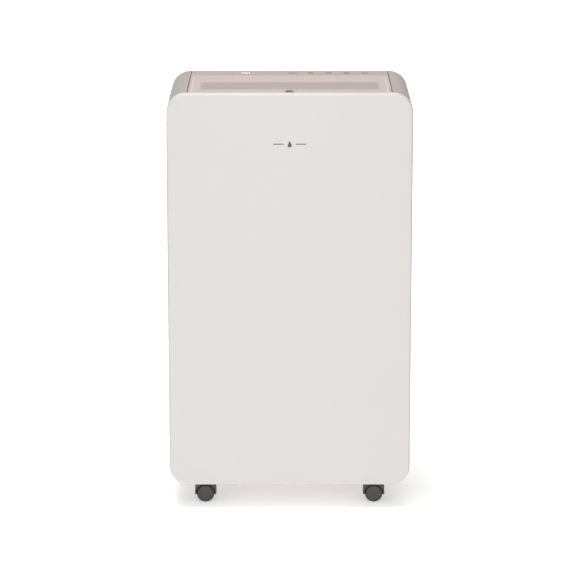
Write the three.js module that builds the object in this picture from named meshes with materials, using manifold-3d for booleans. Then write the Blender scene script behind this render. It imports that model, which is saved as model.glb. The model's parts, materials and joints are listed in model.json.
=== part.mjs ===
// A compressor dehumidifier on four swivel casters. Millimetres, +Z up, front towards -Y.
// The origin is on the floor, under the middle of the case.
import * as THREE from 'three';
import { mergeVertices } from 'three/addons/utils/BufferGeometryUtils.js';
import Module from 'manifold-3d';

const wasm = await Module();
wasm.setup();

// ---- Driving dimensions -------------------------------------------------------------

const partGap = 0.3; // between pieces that touch
const slideGap = 1; // around pieces that are pulled out by hand

// Case
const caseWidth = 340;
const caseDepth = 206;
const caseTop = 597;
const groundClearance = 36;
const cornerRadius = 27;
const panelThickness = 12;
const panelWall = 3;
const panelEdgeRound = 3;
const shellWall = 3;
const shellLap = 28.2; // how far a side shell reaches over the top and under the base
const rearCoverThickness = 5;
const frameDepth = 5; // front frame, front to back
const frameWidth = 14; // front frame, outer edge to opening

// Top
const stripDepth = 33.7;
const lidWall = 3; // top plate of the grille and of the control strip
const lidSkirt = 8;
const topFrameThickness = 4;
const mouthWidth = 248; // air outlet
const mouthDepth = 61;
const mouthSetback = 26; // from the back of the front panel to the outlet
const topSlotCount = 8;
const topSlotBar = 4;
const notchWidth = 12;
const notchLength = 23;
const hingeInset = 0.7; // hinge line of the top grille, in from its rear top edge
const displayWidth = 26;
const displayDepth = 12;
const displayX = -69;
const displayThickness = 1.2;
const boardThickness = 1.5;

// Side grips
const gripWidth = 96; // front to back
const gripHeight = 30;
const gripDepth = 18;
const gripWall = 2;
const gripY = 8;
const gripDrop = 125; // from the case top down to the middle of the grip

// Casters
const wheelRadius = 12.5;
const wheelWidth = 9;
const wheelRecess = 0.4; // tyre edge behind the hood's face
const webThickness = 5.6;
const webDrop = 2.4; // the web between the wheels reaches this far below the hood
const tyreRound = 1.4;
const axleRadius = 2;
const hoodTopWidth = 28.4;
const hoodFlare = 1.2; // extra half width at the foot of the hood
const hoodFoot = 11.3; // foot of the hood above the floor
const hoodTopGap = 0.5;
const archGap = 1.2;
const casterTrail = 5;
const casterX = 120.5; // wheel centre from the middle of the case
const casterSetback = 45; // wheel centre from the front and the rear of the case
const stemRadius = 4;
const stemLength = 15;
const runningGap = 0.06; // axle and stem, radially
const socketRadius = 8;
const socketRoof = 2;

// Water tank and its bay
const basePlate = 3;
const bayWall = 2;
const tankWidth = 250;
const tankDepth = 84;
const tankBodyHeight = 140;
const tankFaceHeight = 188;
const tankWall = 2.5;
const tankFaceThickness = 3;
const tankLidThickness = 3;
const tankLidLip = 4;
const tankLidLipWall = 2;
const inletWidth = 70;
const inletDepth = 40;
const inletX = -20;
const pullWidth = 96;
const pullHeight = 28;
const pullDepth = 14;
const bailSpan = 140;
const bailReach = 34;
const bailShare = 0.65; // of the tank's depth, from its front to the bail's pins
const bailThickness = 6;
const bailPinRadius = 1.8;
const bailPinLength = 4;
const lugWall = 4;
const lugLength = 10;
const floatWidth = 24;
const floatLength = 30;
const floatHeight = 24;
const floatX = 100;
const floatDrop = 13; // from the pivot down to the top of the float
const floatPinRadius = 1.5;
const floatArm = 4;

// Air intake, drip tray and coils
const trayHeight = 14;
const trayWall = 2;
const drainRadius = 8;
const drainBore = 2.8;
const spoutRadius = 4.5;
const spoutShoulder = 3;
const drainShare = 0.4; // of the tank's width, from the middle of the case to the drain
const intakeWidth = 244;
const intakeHeight = 210;
const intakeRim = 8;
const intakeDepth = 8;
const slatPitch = 14;
const slatThickness = 3;
const filterThickness = 5;
const filterBar = 2;
const filterCellCount = 5;
const coilWidth = 236;
const coilHeight = 224;
const coilDepth = 20;
const coilSpacing = 4;
const finPitch = 18;
const finThickness = 2;
const coilPlate = 3;

// Fan
const impellerRadius = 74;
const impellerWidth = 58;
const bladeCount = 16;
const bladeChord = 15;
const bladeThickness = 2;
const bladePitch = 35; // degrees
const scrollWall = 2;
const scrollGap = 10; // from the impeller to the start of the spiral
const scrollGrowth = 35; // from the start of the spiral to its end
const scrollSlack = 16; // spiral casing deeper than the impeller is wide
const inletLip = 16; // air inlet of the casing, in from the impeller's rim
const tongueAngle = 60; // degrees
const motorRadius = 38;
const motorLength = 38;
const motorFlange = 3;
const motorFlangeLap = 8;
const motorChamfer = 4;
const shaftRadius = 4;

// Compressor
const compressorRadius = 45;
const compressorHeight = 140;
const compressorX = -35;
const compressorDome = 14;
const compressorCrown = 27; // radius of the flat at either end
const footRadius = 56;
const footLug = 8;
const footPlate = 3;
const grommetHeight = 22;
const pegRadius = 3;
const accumulatorRadius = 16;
const accumulatorHeight = 100;
const suctionRadius = 5;
const dischargeRadius = 4;
const capillaryRadius = 1.5;

// ---- Places worked out from the driving dimensions ----------------------------------

const halfWidth = caseWidth / 2;
const frontY = -caseDepth / 2;
const rearY = caseDepth / 2;
const caseHeight = caseTop - groundClearance;
const caseMiddleZ = (caseTop + groundClearance) / 2;
const panelBackY = frontY + panelThickness;
const bodyFrontY = panelBackY + partGap;
const bodyRearY = rearY - rearCoverThickness - partGap;
const frameBackY = bodyFrontY + frameDepth;
const shellSeamX = halfWidth - shellLap;
const middleX = shellSeamX - partGap; // half width of what lies between the side shells
const innerX = halfWidth - shellWall; // inner face of a side shell

const topFrameTop = caseTop - lidWall - lidSkirt - partGap;
const topFrameBottom = topFrameTop - topFrameThickness;
const stripFrontY = bodyRearY - stripDepth;
const grilleRearY = stripFrontY - 2 * partGap;
const grilleFrontY = bodyFrontY + 2 * partGap; // leaves room for the front edge as it swings up
const mouthFrontY = panelBackY + mouthSetback;
const mouthRearY = mouthFrontY + mouthDepth;

const hoodTopZ = groundClearance - hoodTopGap;
const socketTopZ = groundClearance + stemLength + socketRoof;
const hoodHalfDepth = webThickness / 2 + partGap + wheelWidth + wheelRecess;

const bayFloorZ = socketTopZ + partGap + bayWall; // inside faces of the bay
const tankBottomZ = bayFloorZ + slideGap;
const bayTopZ = tankBottomZ + tankFaceHeight + slideGap;
const bayHalfWidth = tankWidth / 2 + slideGap;
const tankFrontY = rearY - tankDepth;
const bayFrontY = tankFrontY - slideGap;
const tankLidBottomZ = tankBottomZ + tankBodyHeight + partGap;
const tankLidTopZ = tankLidBottomZ + tankLidThickness;
const bailPivotY = tankFrontY + tankDepth * bailShare;
const bailPivotZ = tankLidTopZ + bailThickness;
const floatPivotY = tankFrontY + tankWall + 3 * floatArm;
const floatPivotZ = tankBottomZ + tankBodyHeight - tankLidLip - 3 * floatArm;

const trayBottomZ = bayTopZ + bayWall + partGap;
const coilBottomZ = trayBottomZ + trayWall + partGap;
const coilMiddleZ = coilBottomZ + coilHeight / 2;
const evaporatorRearY = rearY - intakeDepth - filterThickness - 4 * slideGap;
const evaporatorFrontY = evaporatorRearY - coilDepth;
const condenserRearY = evaporatorFrontY - coilSpacing;
const condenserFrontY = condenserRearY - coilDepth;
const trayFrontY = condenserFrontY - trayWall - slideGap;
const trayRearY = evaporatorRearY + trayWall + slideGap;
const drainX = tankWidth * drainShare;
const drainZ = trayBottomZ + drainRadius + partGap;
const intakeBottomZ = drainZ + 2 * drainRadius;

const tongue = THREE.MathUtils.degToRad(tongueAngle);
const scrollStart = impellerRadius + scrollGap;
const scrollEnd = scrollStart + scrollGrowth;
const scrollInlet = impellerRadius - inletLip;
const scrollDepth = impellerWidth + scrollSlack;
const scrollReach = scrollStart + scrollGrowth * (1.5 * Math.PI - tongue) / (2 * Math.PI - tongue);
const fanZ = Math.max(coilMiddleZ, trayBottomZ + slideGap + scrollReach); // keeps the spiral off the bay
const scrollRearY = condenserFrontY - coilSpacing;
const scrollFrontY = scrollRearY - scrollDepth;
const scrollTopZ = fanZ + scrollStart + impellerRadius / 3;
const ductWall = scrollWall;

// ---- Finishes -----------------------------------------------------------------------

function finish(color, roughness, metalness = 0) {
  return new THREE.MeshStandardMaterial({ color, roughness, metalness });
}

const panelWhite = finish(0xe4e0dd, 0.45);
const shellTaupe = finish(0xbeb6b1, 0.5);
const stripTaupe = finish(0xb8aea8, 0.3);
const grilleBeige = finish(0xd9cbc2, 0.55);
const innerGrey = finish(0xb4aaa4, 0.7);
const smokedClear = finish(0x9aa4a8, 0.15);
const displayGlass = finish(0x2a2624, 0.1);
const boardGreen = finish(0x2f5a3c, 0.6);
const casterGrey = finish(0x343434, 0.5);
const wheelGrey = finish(0x525252, 0.45);
const compressorBlack = finish(0x1c1c1e, 0.4);
const bareSteel = finish(0x9b9c9e, 0.35, 0.9);
const copper = finish(0xb8734a, 0.3, 1);
const finAluminium = finish(0xc3c6c9, 0.4, 0.9);
const softRubber = finish(0x242424, 0.85);
const filterBlack = finish(0x3a3a3c, 0.9);

// ---- Shape helpers ------------------------------------------------------------------

const model = new THREE.Group();
model.name = 'dehumidifier';

function add(name, geometry, material) {
  const mesh = new THREE.Mesh(geometry, material);
  mesh.name = name;
  model.add(mesh);
}

function signedVolume(geometry) {
  const place = geometry.attributes.position;
  const order = geometry.index;
  const [a, b, c] = [new THREE.Vector3(), new THREE.Vector3(), new THREE.Vector3()];
  let total = 0;
  for (let i = 0; i < order.count; i += 3) {
    a.fromBufferAttribute(place, order.getX(i));
    b.fromBufferAttribute(place, order.getX(i + 1));
    c.fromBufferAttribute(place, order.getX(i + 2));
    total += a.dot(b.cross(c)) / 6;
  }
  return total;
}

// A closed geometry as a solid, with its faces turned outwards.
function solid(geometry) {
  const bare = geometry.clone();
  for (const name of Object.keys(bare.attributes)) {
    if (name !== 'position') bare.deleteAttribute(name);
  }
  const merged = mergeVertices(bare, 1e-4);
  const triVerts = new Uint32Array(merged.index.array);
  if (signedVolume(merged) < 0) triVerts.reverse();
  const vertProperties = new Float32Array(merged.attributes.position.array);
  return new wasm.Manifold(new wasm.Mesh({ numProp: 3, vertProperties, triVerts }));
}

function geometryOf(manifold) {
  const mesh = manifold.getMesh();
  const geometry = new THREE.BufferGeometry();
  geometry.setAttribute('position', new THREE.BufferAttribute(mesh.vertProperties, 3));
  geometry.setIndex(new THREE.BufferAttribute(mesh.triVerts, 1));
  return geometry;
}

function join(first, ...others) {
  return geometryOf(others.reduce((sum, next) => sum.add(solid(next)), solid(first)));
}

function cut(first, ...tools) {
  return geometryOf(tools.reduce((rest, tool) => rest.subtract(solid(tool)), solid(first)));
}

function common(first, second) {
  return geometryOf(solid(first).intersect(solid(second)));
}

function block([x0, x1], [y0, y1], [z0, z1]) {
  const box = new THREE.BoxGeometry(x1 - x0, y1 - y0, z1 - z0);
  return box.translate((x0 + x1) / 2, (y0 + y1) / 2, (z0 + z1) / 2);
}

const around = (middle, width) => [middle - width / 2, middle + width / 2];
const sym = (half) => [-half, half];

function roundedOutline(width, height, radius) {
  const [w, h] = [width / 2 - radius, height / 2 - radius];
  const shape = new THREE.Shape();
  shape.absarc(w, h, radius, 0, Math.PI / 2);
  shape.absarc(-w, h, radius, Math.PI / 2, Math.PI);
  shape.absarc(-w, -h, radius, Math.PI, Math.PI * 1.5);
  shape.absarc(w, -h, radius, Math.PI * 1.5, Math.PI * 2);
  shape.closePath();
  return shape;
}

// A shape drawn in X and Z, as thick as y0 to y1.
function slabY(shape, [y0, y1], curveSegments = 8) {
  const slab = new THREE.ExtrudeGeometry(shape, { depth: y1 - y0, bevelEnabled: false, curveSegments });
  return slab.rotateX(Math.PI / 2).translate(0, y1, 0);
}

// A shape drawn in X and Y, as thick as z0 to z1.
function slabZ(shape, [z0, z1], curveSegments = 8) {
  const slab = new THREE.ExtrudeGeometry(shape, { depth: z1 - z0, bevelEnabled: false, curveSegments });
  return slab.translate(0, 0, z0);
}

// The case outline, drawn in from its edge, over the whole height of the case.
function caseSlab(inset, span) {
  const outline = roundedOutline(caseWidth - 2 * inset, caseHeight - 2 * inset, cornerRadius - inset);
  return slabY(outline, span).translate(0, 0, caseMiddleZ);
}

function rod(axis, radius, centre, [from, to], sides = 24) {
  const bar = new THREE.CylinderGeometry(radius, radius, to - from, sides);
  bar.translate(0, (from + to) / 2, 0);
  if (axis === 'x') bar.rotateZ(-Math.PI / 2).translate(0, centre[0], centre[1]);
  if (axis === 'y') bar.translate(centre[0], 0, centre[1]);
  if (axis === 'z') bar.rotateX(Math.PI / 2).translate(centre[0], centre[1], 0);
  return bar;
}

// A turned piece: profile points are radius and distance along the axis.
function turned(axis, profile, centre, sides = 24) {
  const points = profile.map(([radius, along]) => new THREE.Vector2(radius, along));
  const piece = new THREE.LatheGeometry(points, sides);
  if (axis === 'y') piece.translate(centre[0], 0, centre[1]);
  if (axis === 'z') piece.rotateX(Math.PI / 2).translate(centre[0], centre[1], 0);
  return geometryOf(solid(piece));
}

function pipe(points, radius, steps) {
  const route = new THREE.CatmullRomCurve3(points.map((p) => new THREE.Vector3(...p)), false, 'centripetal');
  const section = new THREE.Shape().absarc(0, 0, radius, 0, Math.PI * 2);
  const settings = { extrudePath: route, steps, curveSegments: 4, bevelEnabled: false };
  return new THREE.ExtrudeGeometry(section, settings);
}

// A shape drawn in Y and Z, as thick as x0 to x1.
function slabX(shape, [x0, x1], curveSegments = 8) {
  const slab = new THREE.ExtrudeGeometry(shape, { depth: x1 - x0, bevelEnabled: false, curveSegments });
  const [x, y, z] = [new THREE.Vector3(1, 0, 0), new THREE.Vector3(0, 1, 0), new THREE.Vector3(0, 0, 1)];
  return slab.applyMatrix4(new THREE.Matrix4().makeBasis(y, z, x)).translate(x0, 0, 0);
}

function mirrored(geometry) {
  return geometryOf(solid(geometry.clone().scale(-1, 1, 1)));
}

const past = 1; // how far a cutting tool reaches past the face it cuts

// ---- Casing -------------------------------------------------------------------------

function frontPanel() {
  const round = panelEdgeRound;
  const outline = roundedOutline(caseWidth - 2 * round, caseHeight - 2 * round, cornerRadius - round);
  const depth = 2 * panelThickness;
  const settings = { depth, bevelThickness: round, bevelSize: round, bevelSegments: 3, curveSegments: 8 };
  const blank = new THREE.ExtrudeGeometry(outline, settings);
  blank.rotateX(Math.PI / 2).translate(0, frontY + depth + round, caseMiddleZ);
  const front = common(blank, block(sym(caseWidth), [frontY - past, panelBackY], [0, caseTop + past]));
  return cut(front, caseSlab(panelWall, [frontY + panelWall, panelBackY + past]));
}

function frontFrame() {
  const low = groundClearance + basePlate + partGap;
  const high = topFrameBottom - partGap;
  const depth = [bodyFrontY, frameBackY];
  const plate = common(caseSlab(shellWall + partGap, depth), block(sym(halfWidth), depth, [low, high]));
  const opening = block(
    sym(innerX - frameWidth),
    [bodyFrontY - past, frameBackY + past],
    [low + frameWidth, high - frameWidth],
  );
  return cut(plate, opening);
}

const gripZ = caseTop - gripDrop;

function gripSlab(inset, span) {
  const [width, height] = [gripWidth - 2 * inset, gripHeight - 2 * inset];
  return slabX(roundedOutline(width, height, height / 2 - partGap), span, 5).translate(0, gripY, gripZ);
}

function sideShell() {
  const inside = caseSlab(shellWall, [bodyFrontY - past, bodyRearY + past]);
  const wall = cut(caseSlab(0, [bodyFrontY, bodyRearY]), inside);
  const side = common(wall, block([shellSeamX, caseWidth], sym(caseDepth), [0, caseTop + past]));
  return cut(side, gripSlab(0, [innerX - past, halfWidth + past]));
}

function gripCup() {
  const floorX = halfWidth - gripDepth;
  const cup = gripSlab(partGap, [floorX - gripWall, halfWidth - partGap]);
  return cut(cup, gripSlab(partGap + gripWall, [floorX, halfWidth + past]));
}

const glandRadius = 9;
const glandBore = 4;
const glandGap = 8;
const glandX = bayHalfWidth + bayWall + glandGap + glandRadius;
const glandZ = tankBottomZ + tankBodyHeight / 4;

function rearCover() {
  const through = [bodyRearY, rearY + past];
  const tankHole = block(sym(bayHalfWidth), through, [bayFloorZ, bayTopZ]);
  const intakeHole = block(sym(intakeWidth / 2), through, [intakeBottomZ, intakeBottomZ + intakeHeight]);
  const drainHole = rod('y', drainRadius, [drainX, drainZ], through);
  const glandHole = rod('y', glandRadius + partGap, [glandX, glandZ], through);
  const plate = caseSlab(0, [bodyRearY + partGap, rearY]);
  return cut(plate, tankHole, intakeHole, drainHole, glandHole);
}

function cordGland() {
  const [inside, outside] = [bodyRearY - rearCoverThickness, rearY];
  const shank = rod('y', glandRadius, [glandX, glandZ], [inside, outside]);
  return cut(shank, rod('y', glandBore, [glandX, glandZ], [inside - past, outside + past]));
}

const baseTopZ = groundClearance + basePlate;
const footZ = baseTopZ + grommetHeight;
const compressorY = (frameBackY + bayFrontY - bayWall) / 2;
const footAngles = [180, 40, -40];
const feet = footAngles.map((angle) => {
  const turn = THREE.MathUtils.degToRad(angle);
  return [compressorX + footRadius * Math.cos(turn), compressorY + footRadius * Math.sin(turn)];
});

// The swivel stems stand inboard of the wheels by the casters' trail.
const casterY = caseDepth / 2 - casterSetback;
const casters = [
  { place: 'front_left', x: -casterX, y: -casterY },
  { place: 'front_right', x: casterX, y: -casterY },
  { place: 'rear_left', x: -casterX, y: casterY },
  { place: 'rear_right', x: casterX, y: casterY },
];
for (const caster of casters) caster.stemX = caster.x - Math.sign(caster.x) * casterTrail;

function basePan() {
  const rimHeight = 4 * basePlate;
  const plate = block(sym(middleX), [bodyFrontY, bodyRearY], [groundClearance, baseTopZ]);
  const rimDepth = [frameBackY + partGap, bodyRearY];
  const rims = [-1, 1].map((side) => {
    const rimZ = [groundClearance, groundClearance + rimHeight];
    const rim = block([middleX - basePlate, middleX], rimDepth, rimZ);
    return side > 0 ? rim : rim.scale(-1, 1, 1);
  });
  const bosses = casters.map(({ stemX, y }) => {
    return rod('z', socketRadius, [stemX, y], [groundClearance, socketTopZ], 12);
  });
  const pegs = feet.map((foot) => rod('z', pegRadius, foot, [groundClearance, footZ + 2 * footPlate], 12));
  const bores = casters.map(({ stemX, y }) => {
    const depth = [groundClearance - past, groundClearance + stemLength];
    return rod('z', stemRadius + runningGap, [stemX, y], depth);
  });
  return cut(join(plate, ...rims, ...bosses, ...pegs), ...bores);
}

const dripX = inletX;
const dripY = tankFrontY + tankDepth / 2;
const dripRadius = 7;

function tankBay() {
  const outer = block(
    sym(bayHalfWidth + bayWall),
    [bayFrontY - bayWall, bodyRearY],
    [bayFloorZ - bayWall, bayTopZ + bayWall],
  );
  const inside = block(sym(bayHalfWidth), [bayFrontY, bodyRearY + past], [bayFloorZ, bayTopZ]);
  const drip = rod('z', dripRadius, [dripX, dripY], [bayTopZ - past, bayTopZ + bayWall + past]);
  return cut(outer, inside, drip);
}

// ---- Top ----------------------------------------------------------------------------

const lidBottomZ = topFrameTop + partGap;
const stripY = (stripFrontY + bodyRearY) / 2;
const keyCount = 5;
const keyPitch = 26;
const keyFirstX = 4;

function topFrame() {
  const through = [topFrameBottom - past, topFrameTop + past];
  const plate = block(sym(middleX), [bodyFrontY, bodyRearY], [topFrameBottom, topFrameTop]);
  const mouth = block(sym(mouthWidth / 2), [mouthFrontY, mouthRearY], through);
  const cableSlot = block(around(displayX, displayWidth), around(stripY, displayDepth), through);
  return cut(plate, mouth, cableSlot);
}

function lidBlank(front, rear) {
  const plate = block(sym(middleX), [front, rear], [lidBottomZ, caseTop]);
  const hollow = block(
    sym(middleX - lidWall),
    [front + lidWall, rear - lidWall],
    [lidBottomZ - past, caseTop - lidWall],
  );
  return cut(plate, hollow);
}

function controlStrip() {
  const recess = block(
    around(displayX, displayWidth),
    around(stripY, displayDepth),
    [caseTop - displayThickness - partGap, caseTop + past],
  );
  const sight = block(
    around(displayX, displayWidth - lidWall),
    around(stripY, displayDepth - lidWall),
    [lidBottomZ, caseTop],
  );
  return cut(lidBlank(stripFrontY, bodyRearY), recess, sight);
}

function displayWindow() {
  const [width, depth] = [displayWidth - 2 * partGap, displayDepth - 2 * partGap];
  return block(around(displayX, width), around(stripY, depth), [caseTop - displayThickness, caseTop]);
}

function controlBoard() {
  const boardHalf = middleX - 4 * lidWall;
  const boardDepth = stripDepth - 4 * lidWall;
  const [low, high] = [lidBottomZ + boardThickness, lidBottomZ + 2 * boardThickness];
  const under = caseTop - lidWall - partGap;
  const board = block(sym(boardHalf), around(stripY, boardDepth), [low, high]);
  const lampBlock = block(
    around(displayX, displayWidth - 2 * lidWall),
    around(stripY, displayDepth - 2 * lidWall),
    [low, under],
  );
  const springs = Array.from({ length: keyCount }, (_, i) => {
    return rod('z', lidWall, [keyFirstX + i * keyPitch, stripY], [low, under], 12);
  });
  const legs = [-1, 1].map((side) => {
    return block(around(side * (boardHalf - lidWall), lidWall), around(stripY, lidWall), [lidBottomZ, high]);
  });
  return join(board, lampBlock, ...springs, ...legs);
}

function topGrille() {
  const pitch = mouthDepth / topSlotCount;
  const slots = Array.from({ length: topSlotCount }, (_, i) => {
    const slotY = around(mouthFrontY + (i + 0.5) * pitch, pitch - topSlotBar);
    return block(sym(mouthWidth / 2 - lidWall), slotY, [lidBottomZ, caseTop + past]);
  });
  const notch = new THREE.Shape().absellipse(0, bodyFrontY, notchWidth / 2, notchLength, 0, Math.PI * 2);
  const notchCut = slabZ(notch, [lidBottomZ - past, caseTop + past]);
  return cut(lidBlank(grilleFrontY, grilleRearY), ...slots, notchCut);
}

function outletDuct() {
  const [low, high] = [scrollTopZ + partGap, topFrameBottom - partGap];
  const outer = block(sym(mouthWidth / 2 + ductWall), [mouthFrontY - ductWall, scrollRearY], [low, high]);
  const inside = block(
    sym(mouthWidth / 2),
    [mouthFrontY, scrollRearY - ductWall],
    [low + ductWall, high - ductWall],
  );
  const mouth = block(sym(mouthWidth / 2), [mouthFrontY, mouthRearY], [low + ductWall, high + past]);
  const throat = block(
    [tongueX + scrollWall, scrollEnd - scrollWall],
    [scrollFrontY + scrollWall, scrollRearY - ductWall],
    [low - past, high - ductWall],
  );
  return cut(outer, inside, mouth, throat);
}

// ---- Air intake, drip tray and coils --------------------------------------------------

function intakeGrille() {
  const half = intakeWidth / 2 - partGap;
  const [low, high] = [intakeBottomZ + partGap, intakeBottomZ + intakeHeight - partGap];
  const depth = [rearY - intakeDepth, rearY];
  const plate = block(sym(half), depth, [low, high]);
  const through = [depth[0] - past, depth[1] + past];
  const opening = block(sym(half - intakeRim), through, [low + intakeRim, high - intakeRim]);
  const slatRoom = high - low - 2 * intakeRim;
  const slatCount = Math.floor(slatRoom / slatPitch) - 1;
  const step = slatRoom / (slatCount + 1);
  const slats = Array.from({ length: slatCount }, (_, i) => {
    const slatZ = around(low + intakeRim + (i + 1) * step, slatThickness);
    return block(sym(half - intakeRim + past), depth, slatZ);
  });
  const post = block(around(0, slatThickness), depth, [low + past, high - past]);
  return join(cut(plate, opening), ...slats, post);
}

function airFilter() {
  const half = intakeWidth / 2 - intakeRim / 2;
  const [low, high] = [intakeBottomZ + intakeRim / 2, intakeBottomZ + intakeHeight - intakeRim / 2];
  const rear = rearY - intakeDepth - partGap;
  const depth = [rear - filterThickness, rear];
  const stepX = (2 * half - filterBar) / filterCellCount;
  const stepZ = (high - low - filterBar) / filterCellCount;
  const cells = [];
  for (let i = 0; i < filterCellCount; i++) {
    for (let j = 0; j < filterCellCount; j++) {
      const [x, z] = [-half + filterBar + i * stepX, low + filterBar + j * stepZ];
      const through = [depth[0] - past, depth[1] + past];
      cells.push(block([x, x + stepX - filterBar], through, [z, z + stepZ - filterBar]));
    }
  }
  return cut(block(sym(half), depth, [low, high]), ...cells);
}

function dripTray() {
  const half = coilWidth / 2 + coilPlate + trayWall + slideGap;
  const outer = block(sym(half), [trayFrontY, trayRearY], [trayBottomZ, trayBottomZ + trayHeight]);
  const inside = block(
    sym(half - trayWall),
    [trayFrontY + trayWall, trayRearY - trayWall],
    [trayBottomZ + trayWall, trayBottomZ + trayHeight + past],
  );
  const drip = rod('z', dripRadius, [dripX, dripY], [trayBottomZ - past, trayBottomZ + trayHeight]);
  return cut(outer, inside, drip);
}

// Upright fins between two end plates, held together by a web along the middle of the coil.
function coil(front) {
  const middle = front + coilDepth / 2;
  const [low, high] = [coilBottomZ, coilBottomZ + coilHeight];
  const finCount = Math.round(coilWidth / finPitch) - 1;
  const step = coilWidth / (finCount + 1);
  const web = block(sym(coilWidth / 2), around(middle, finThickness), [low + past, high - past]);
  const depth = [front, front + coilDepth];
  const fins = Array.from({ length: finCount }, (_, i) => {
    return block(around(-coilWidth / 2 + (i + 1) * step, finThickness), depth, [low, high]);
  });
  const plates = [-1, 1].map((side) => {
    return block(around(side * (coilWidth + coilPlate) / 2, coilPlate), depth, [low, high]);
  });
  return join(web, ...fins, ...plates);
}

function drainSpout() {
  const from = trayRearY + partGap;
  const shoulder = from + spoutShoulder;
  const end = rearY - rearCoverThickness - past;
  const profile = [[drainBore, from], [drainRadius - past, from], [drainRadius - past, shoulder],
    [spoutRadius, shoulder], [spoutRadius, end], [drainBore, end], [drainBore, from]];
  return turned('y', profile, [drainX, drainZ], 20);
}

function drainCap() {
  const from = trayRearY + partGap + spoutShoulder + partGap;
  const [outer, inner] = [drainRadius - past, spoutRadius + partGap];
  const roof = rearY - rearCoverThickness;
  const profile = [[inner, from], [outer, from], [outer, rearY], [0, rearY], [0, roof], [inner, roof],
    [inner, from]];
  return turned('y', profile, [drainX, drainZ], 20);
}

// ---- Fan ------------------------------------------------------------------------------

const tongueX = scrollStart * Math.cos(tongue);

// A spiral that widens anticlockwise and leaves straight upwards at the right.
function scrollOutline(inset, top) {
  const shape = new THREE.Shape();
  const steps = 20;
  for (let i = 0; i <= steps; i++) {
    const turn = tongue + (2 * Math.PI - tongue) * (i / steps);
    const radius = scrollStart + (scrollEnd - scrollStart) * (i / steps) - inset;
    const point = [radius * Math.cos(turn), fanZ + radius * Math.sin(turn)];
    if (i === 0) shape.moveTo(...point);
    else shape.lineTo(...point);
  }
  shape.lineTo(scrollEnd - inset, top);
  shape.lineTo(tongueX + inset, top);
  shape.lineTo(tongueX + inset, fanZ + (scrollStart - inset) * Math.sin(tongue));
  shape.closePath();
  return shape;
}

function fanScroll() {
  const outer = slabY(scrollOutline(0, scrollTopZ), [scrollFrontY, scrollRearY]);
  const insideSpan = [scrollFrontY + scrollWall, scrollRearY - scrollWall];
  const inside = slabY(scrollOutline(scrollWall, scrollTopZ + past), insideSpan);
  const inlet = rod('y', scrollInlet, [0, fanZ], [scrollRearY - 2 * scrollWall, scrollRearY + past], 28);
  const holeSpan = [scrollFrontY - past, scrollFrontY + 2 * scrollWall];
  const shaftHole = rod('y', shaftRadius + past, [0, fanZ], holeSpan);
  return cut(outer, inside, inlet, shaftHole);
}

const motorRearY = scrollFrontY - partGap;
const motorFrontY = motorRearY - motorLength - motorFlange;
const shaftFrontY = motorRearY - motorLength / 2;

function fanMotor() {
  const neck = motorRearY - motorFlange;
  const bore = shaftRadius + runningGap;
  const flange = motorRadius + motorFlangeLap;
  const profile = [[0, motorFrontY], [motorRadius - motorChamfer, motorFrontY],
    [motorRadius, motorFrontY + motorChamfer], [motorRadius, neck], [flange, neck], [flange, motorRearY],
    [bore, motorRearY], [bore, shaftFrontY - partGap], [0, shaftFrontY - partGap]];
  return turned('y', profile, [0, fanZ], 24);
}

function fanImpeller() {
  const rear = scrollRearY - scrollWall - 2 * slideGap;
  const front = rear - impellerWidth;
  const disc = rod('y', impellerRadius, [0, fanZ], [front, front + bladeThickness], 32);
  const hub = rod('y', 3 * shaftRadius, [0, fanZ], [front - slideGap, front + impellerWidth / 3], 16);
  const shaft = rod('y', shaftRadius, [0, fanZ], [shaftFrontY, front + past], 24);
  const ring = cut(
    rod('y', impellerRadius, [0, fanZ], [rear - 2 * bladeThickness, rear], 32),
    rod('y', impellerRadius - bladeChord, [0, fanZ], [rear - impellerWidth / 2, rear + past], 32),
  );
  const blades = Array.from({ length: bladeCount }, (_, i) => {
    const blade = block(around(0, bladeChord), [front + past, rear - past], around(0, bladeThickness));
    blade.rotateY(THREE.MathUtils.degToRad(bladePitch));
    blade.translate(impellerRadius - bladeChord / 2, 0, 0);
    return blade.rotateY(i * 2 * Math.PI / bladeCount).translate(0, 0, fanZ);
  });
  return join(disc, hub, shaft, ring, ...blades);
}

// ---- Refrigerant circuit --------------------------------------------------------------

function compressor() {
  const [low, high] = [footZ, footZ + compressorHeight];
  const profile = [[0, low], [compressorCrown, low], [compressorRadius, low + compressorDome],
    [compressorRadius, high - compressorDome], [compressorCrown, high - compressorDome / 4], [0, high]];
  const shell = turned('z', profile, [compressorX, compressorY]);
  const plate = [footZ, footZ + footPlate];
  const lugs = feet.flatMap(([x, y]) => {
    const arm = block([0, footRadius], sym(footLug), plate);
    arm.rotateZ(Math.atan2(y - compressorY, x - compressorX)).translate(compressorX, compressorY, 0);
    return [arm, rod('z', footLug, [x, y], plate)];
  });
  const through = [footZ - past, footZ + footPlate + past];
  const holes = feet.map((foot) => rod('z', pegRadius + partGap, foot, through));
  return cut(join(shell, ...lugs), ...holes);
}

function grommet(foot) {
  const [low, high] = [baseTopZ + partGap, footZ - partGap];
  const peg = rod('z', pegRadius + partGap, foot, [low - past, high + past]);
  return cut(rod('z', footLug, foot, [low, high]), peg);
}

const accumulatorX = compressorX + compressorRadius + accumulatorRadius + footLug;
const accumulatorTopZ = footZ + compressorHeight - 2 * compressorDome;

function accumulator() {
  const [low, high] = [accumulatorTopZ - accumulatorHeight, accumulatorTopZ];
  const neck = accumulatorRadius / 2;
  const profile = [[0, low], [neck, low], [accumulatorRadius, low + neck],
    [accumulatorRadius, high - neck], [neck, high], [0, high]];
  return turned('z', profile, [accumulatorX, compressorY], 24);
}

const coilEndX = coilWidth / 2 + coilPlate + 2 * partGap;
const pipeX = innerX - 5 * suctionRadius; // outermost run of the pipes beside the coils
const evaporatorY = evaporatorFrontY + coilDepth / 2;
const condenserY = condenserFrontY + coilDepth / 2;

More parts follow.
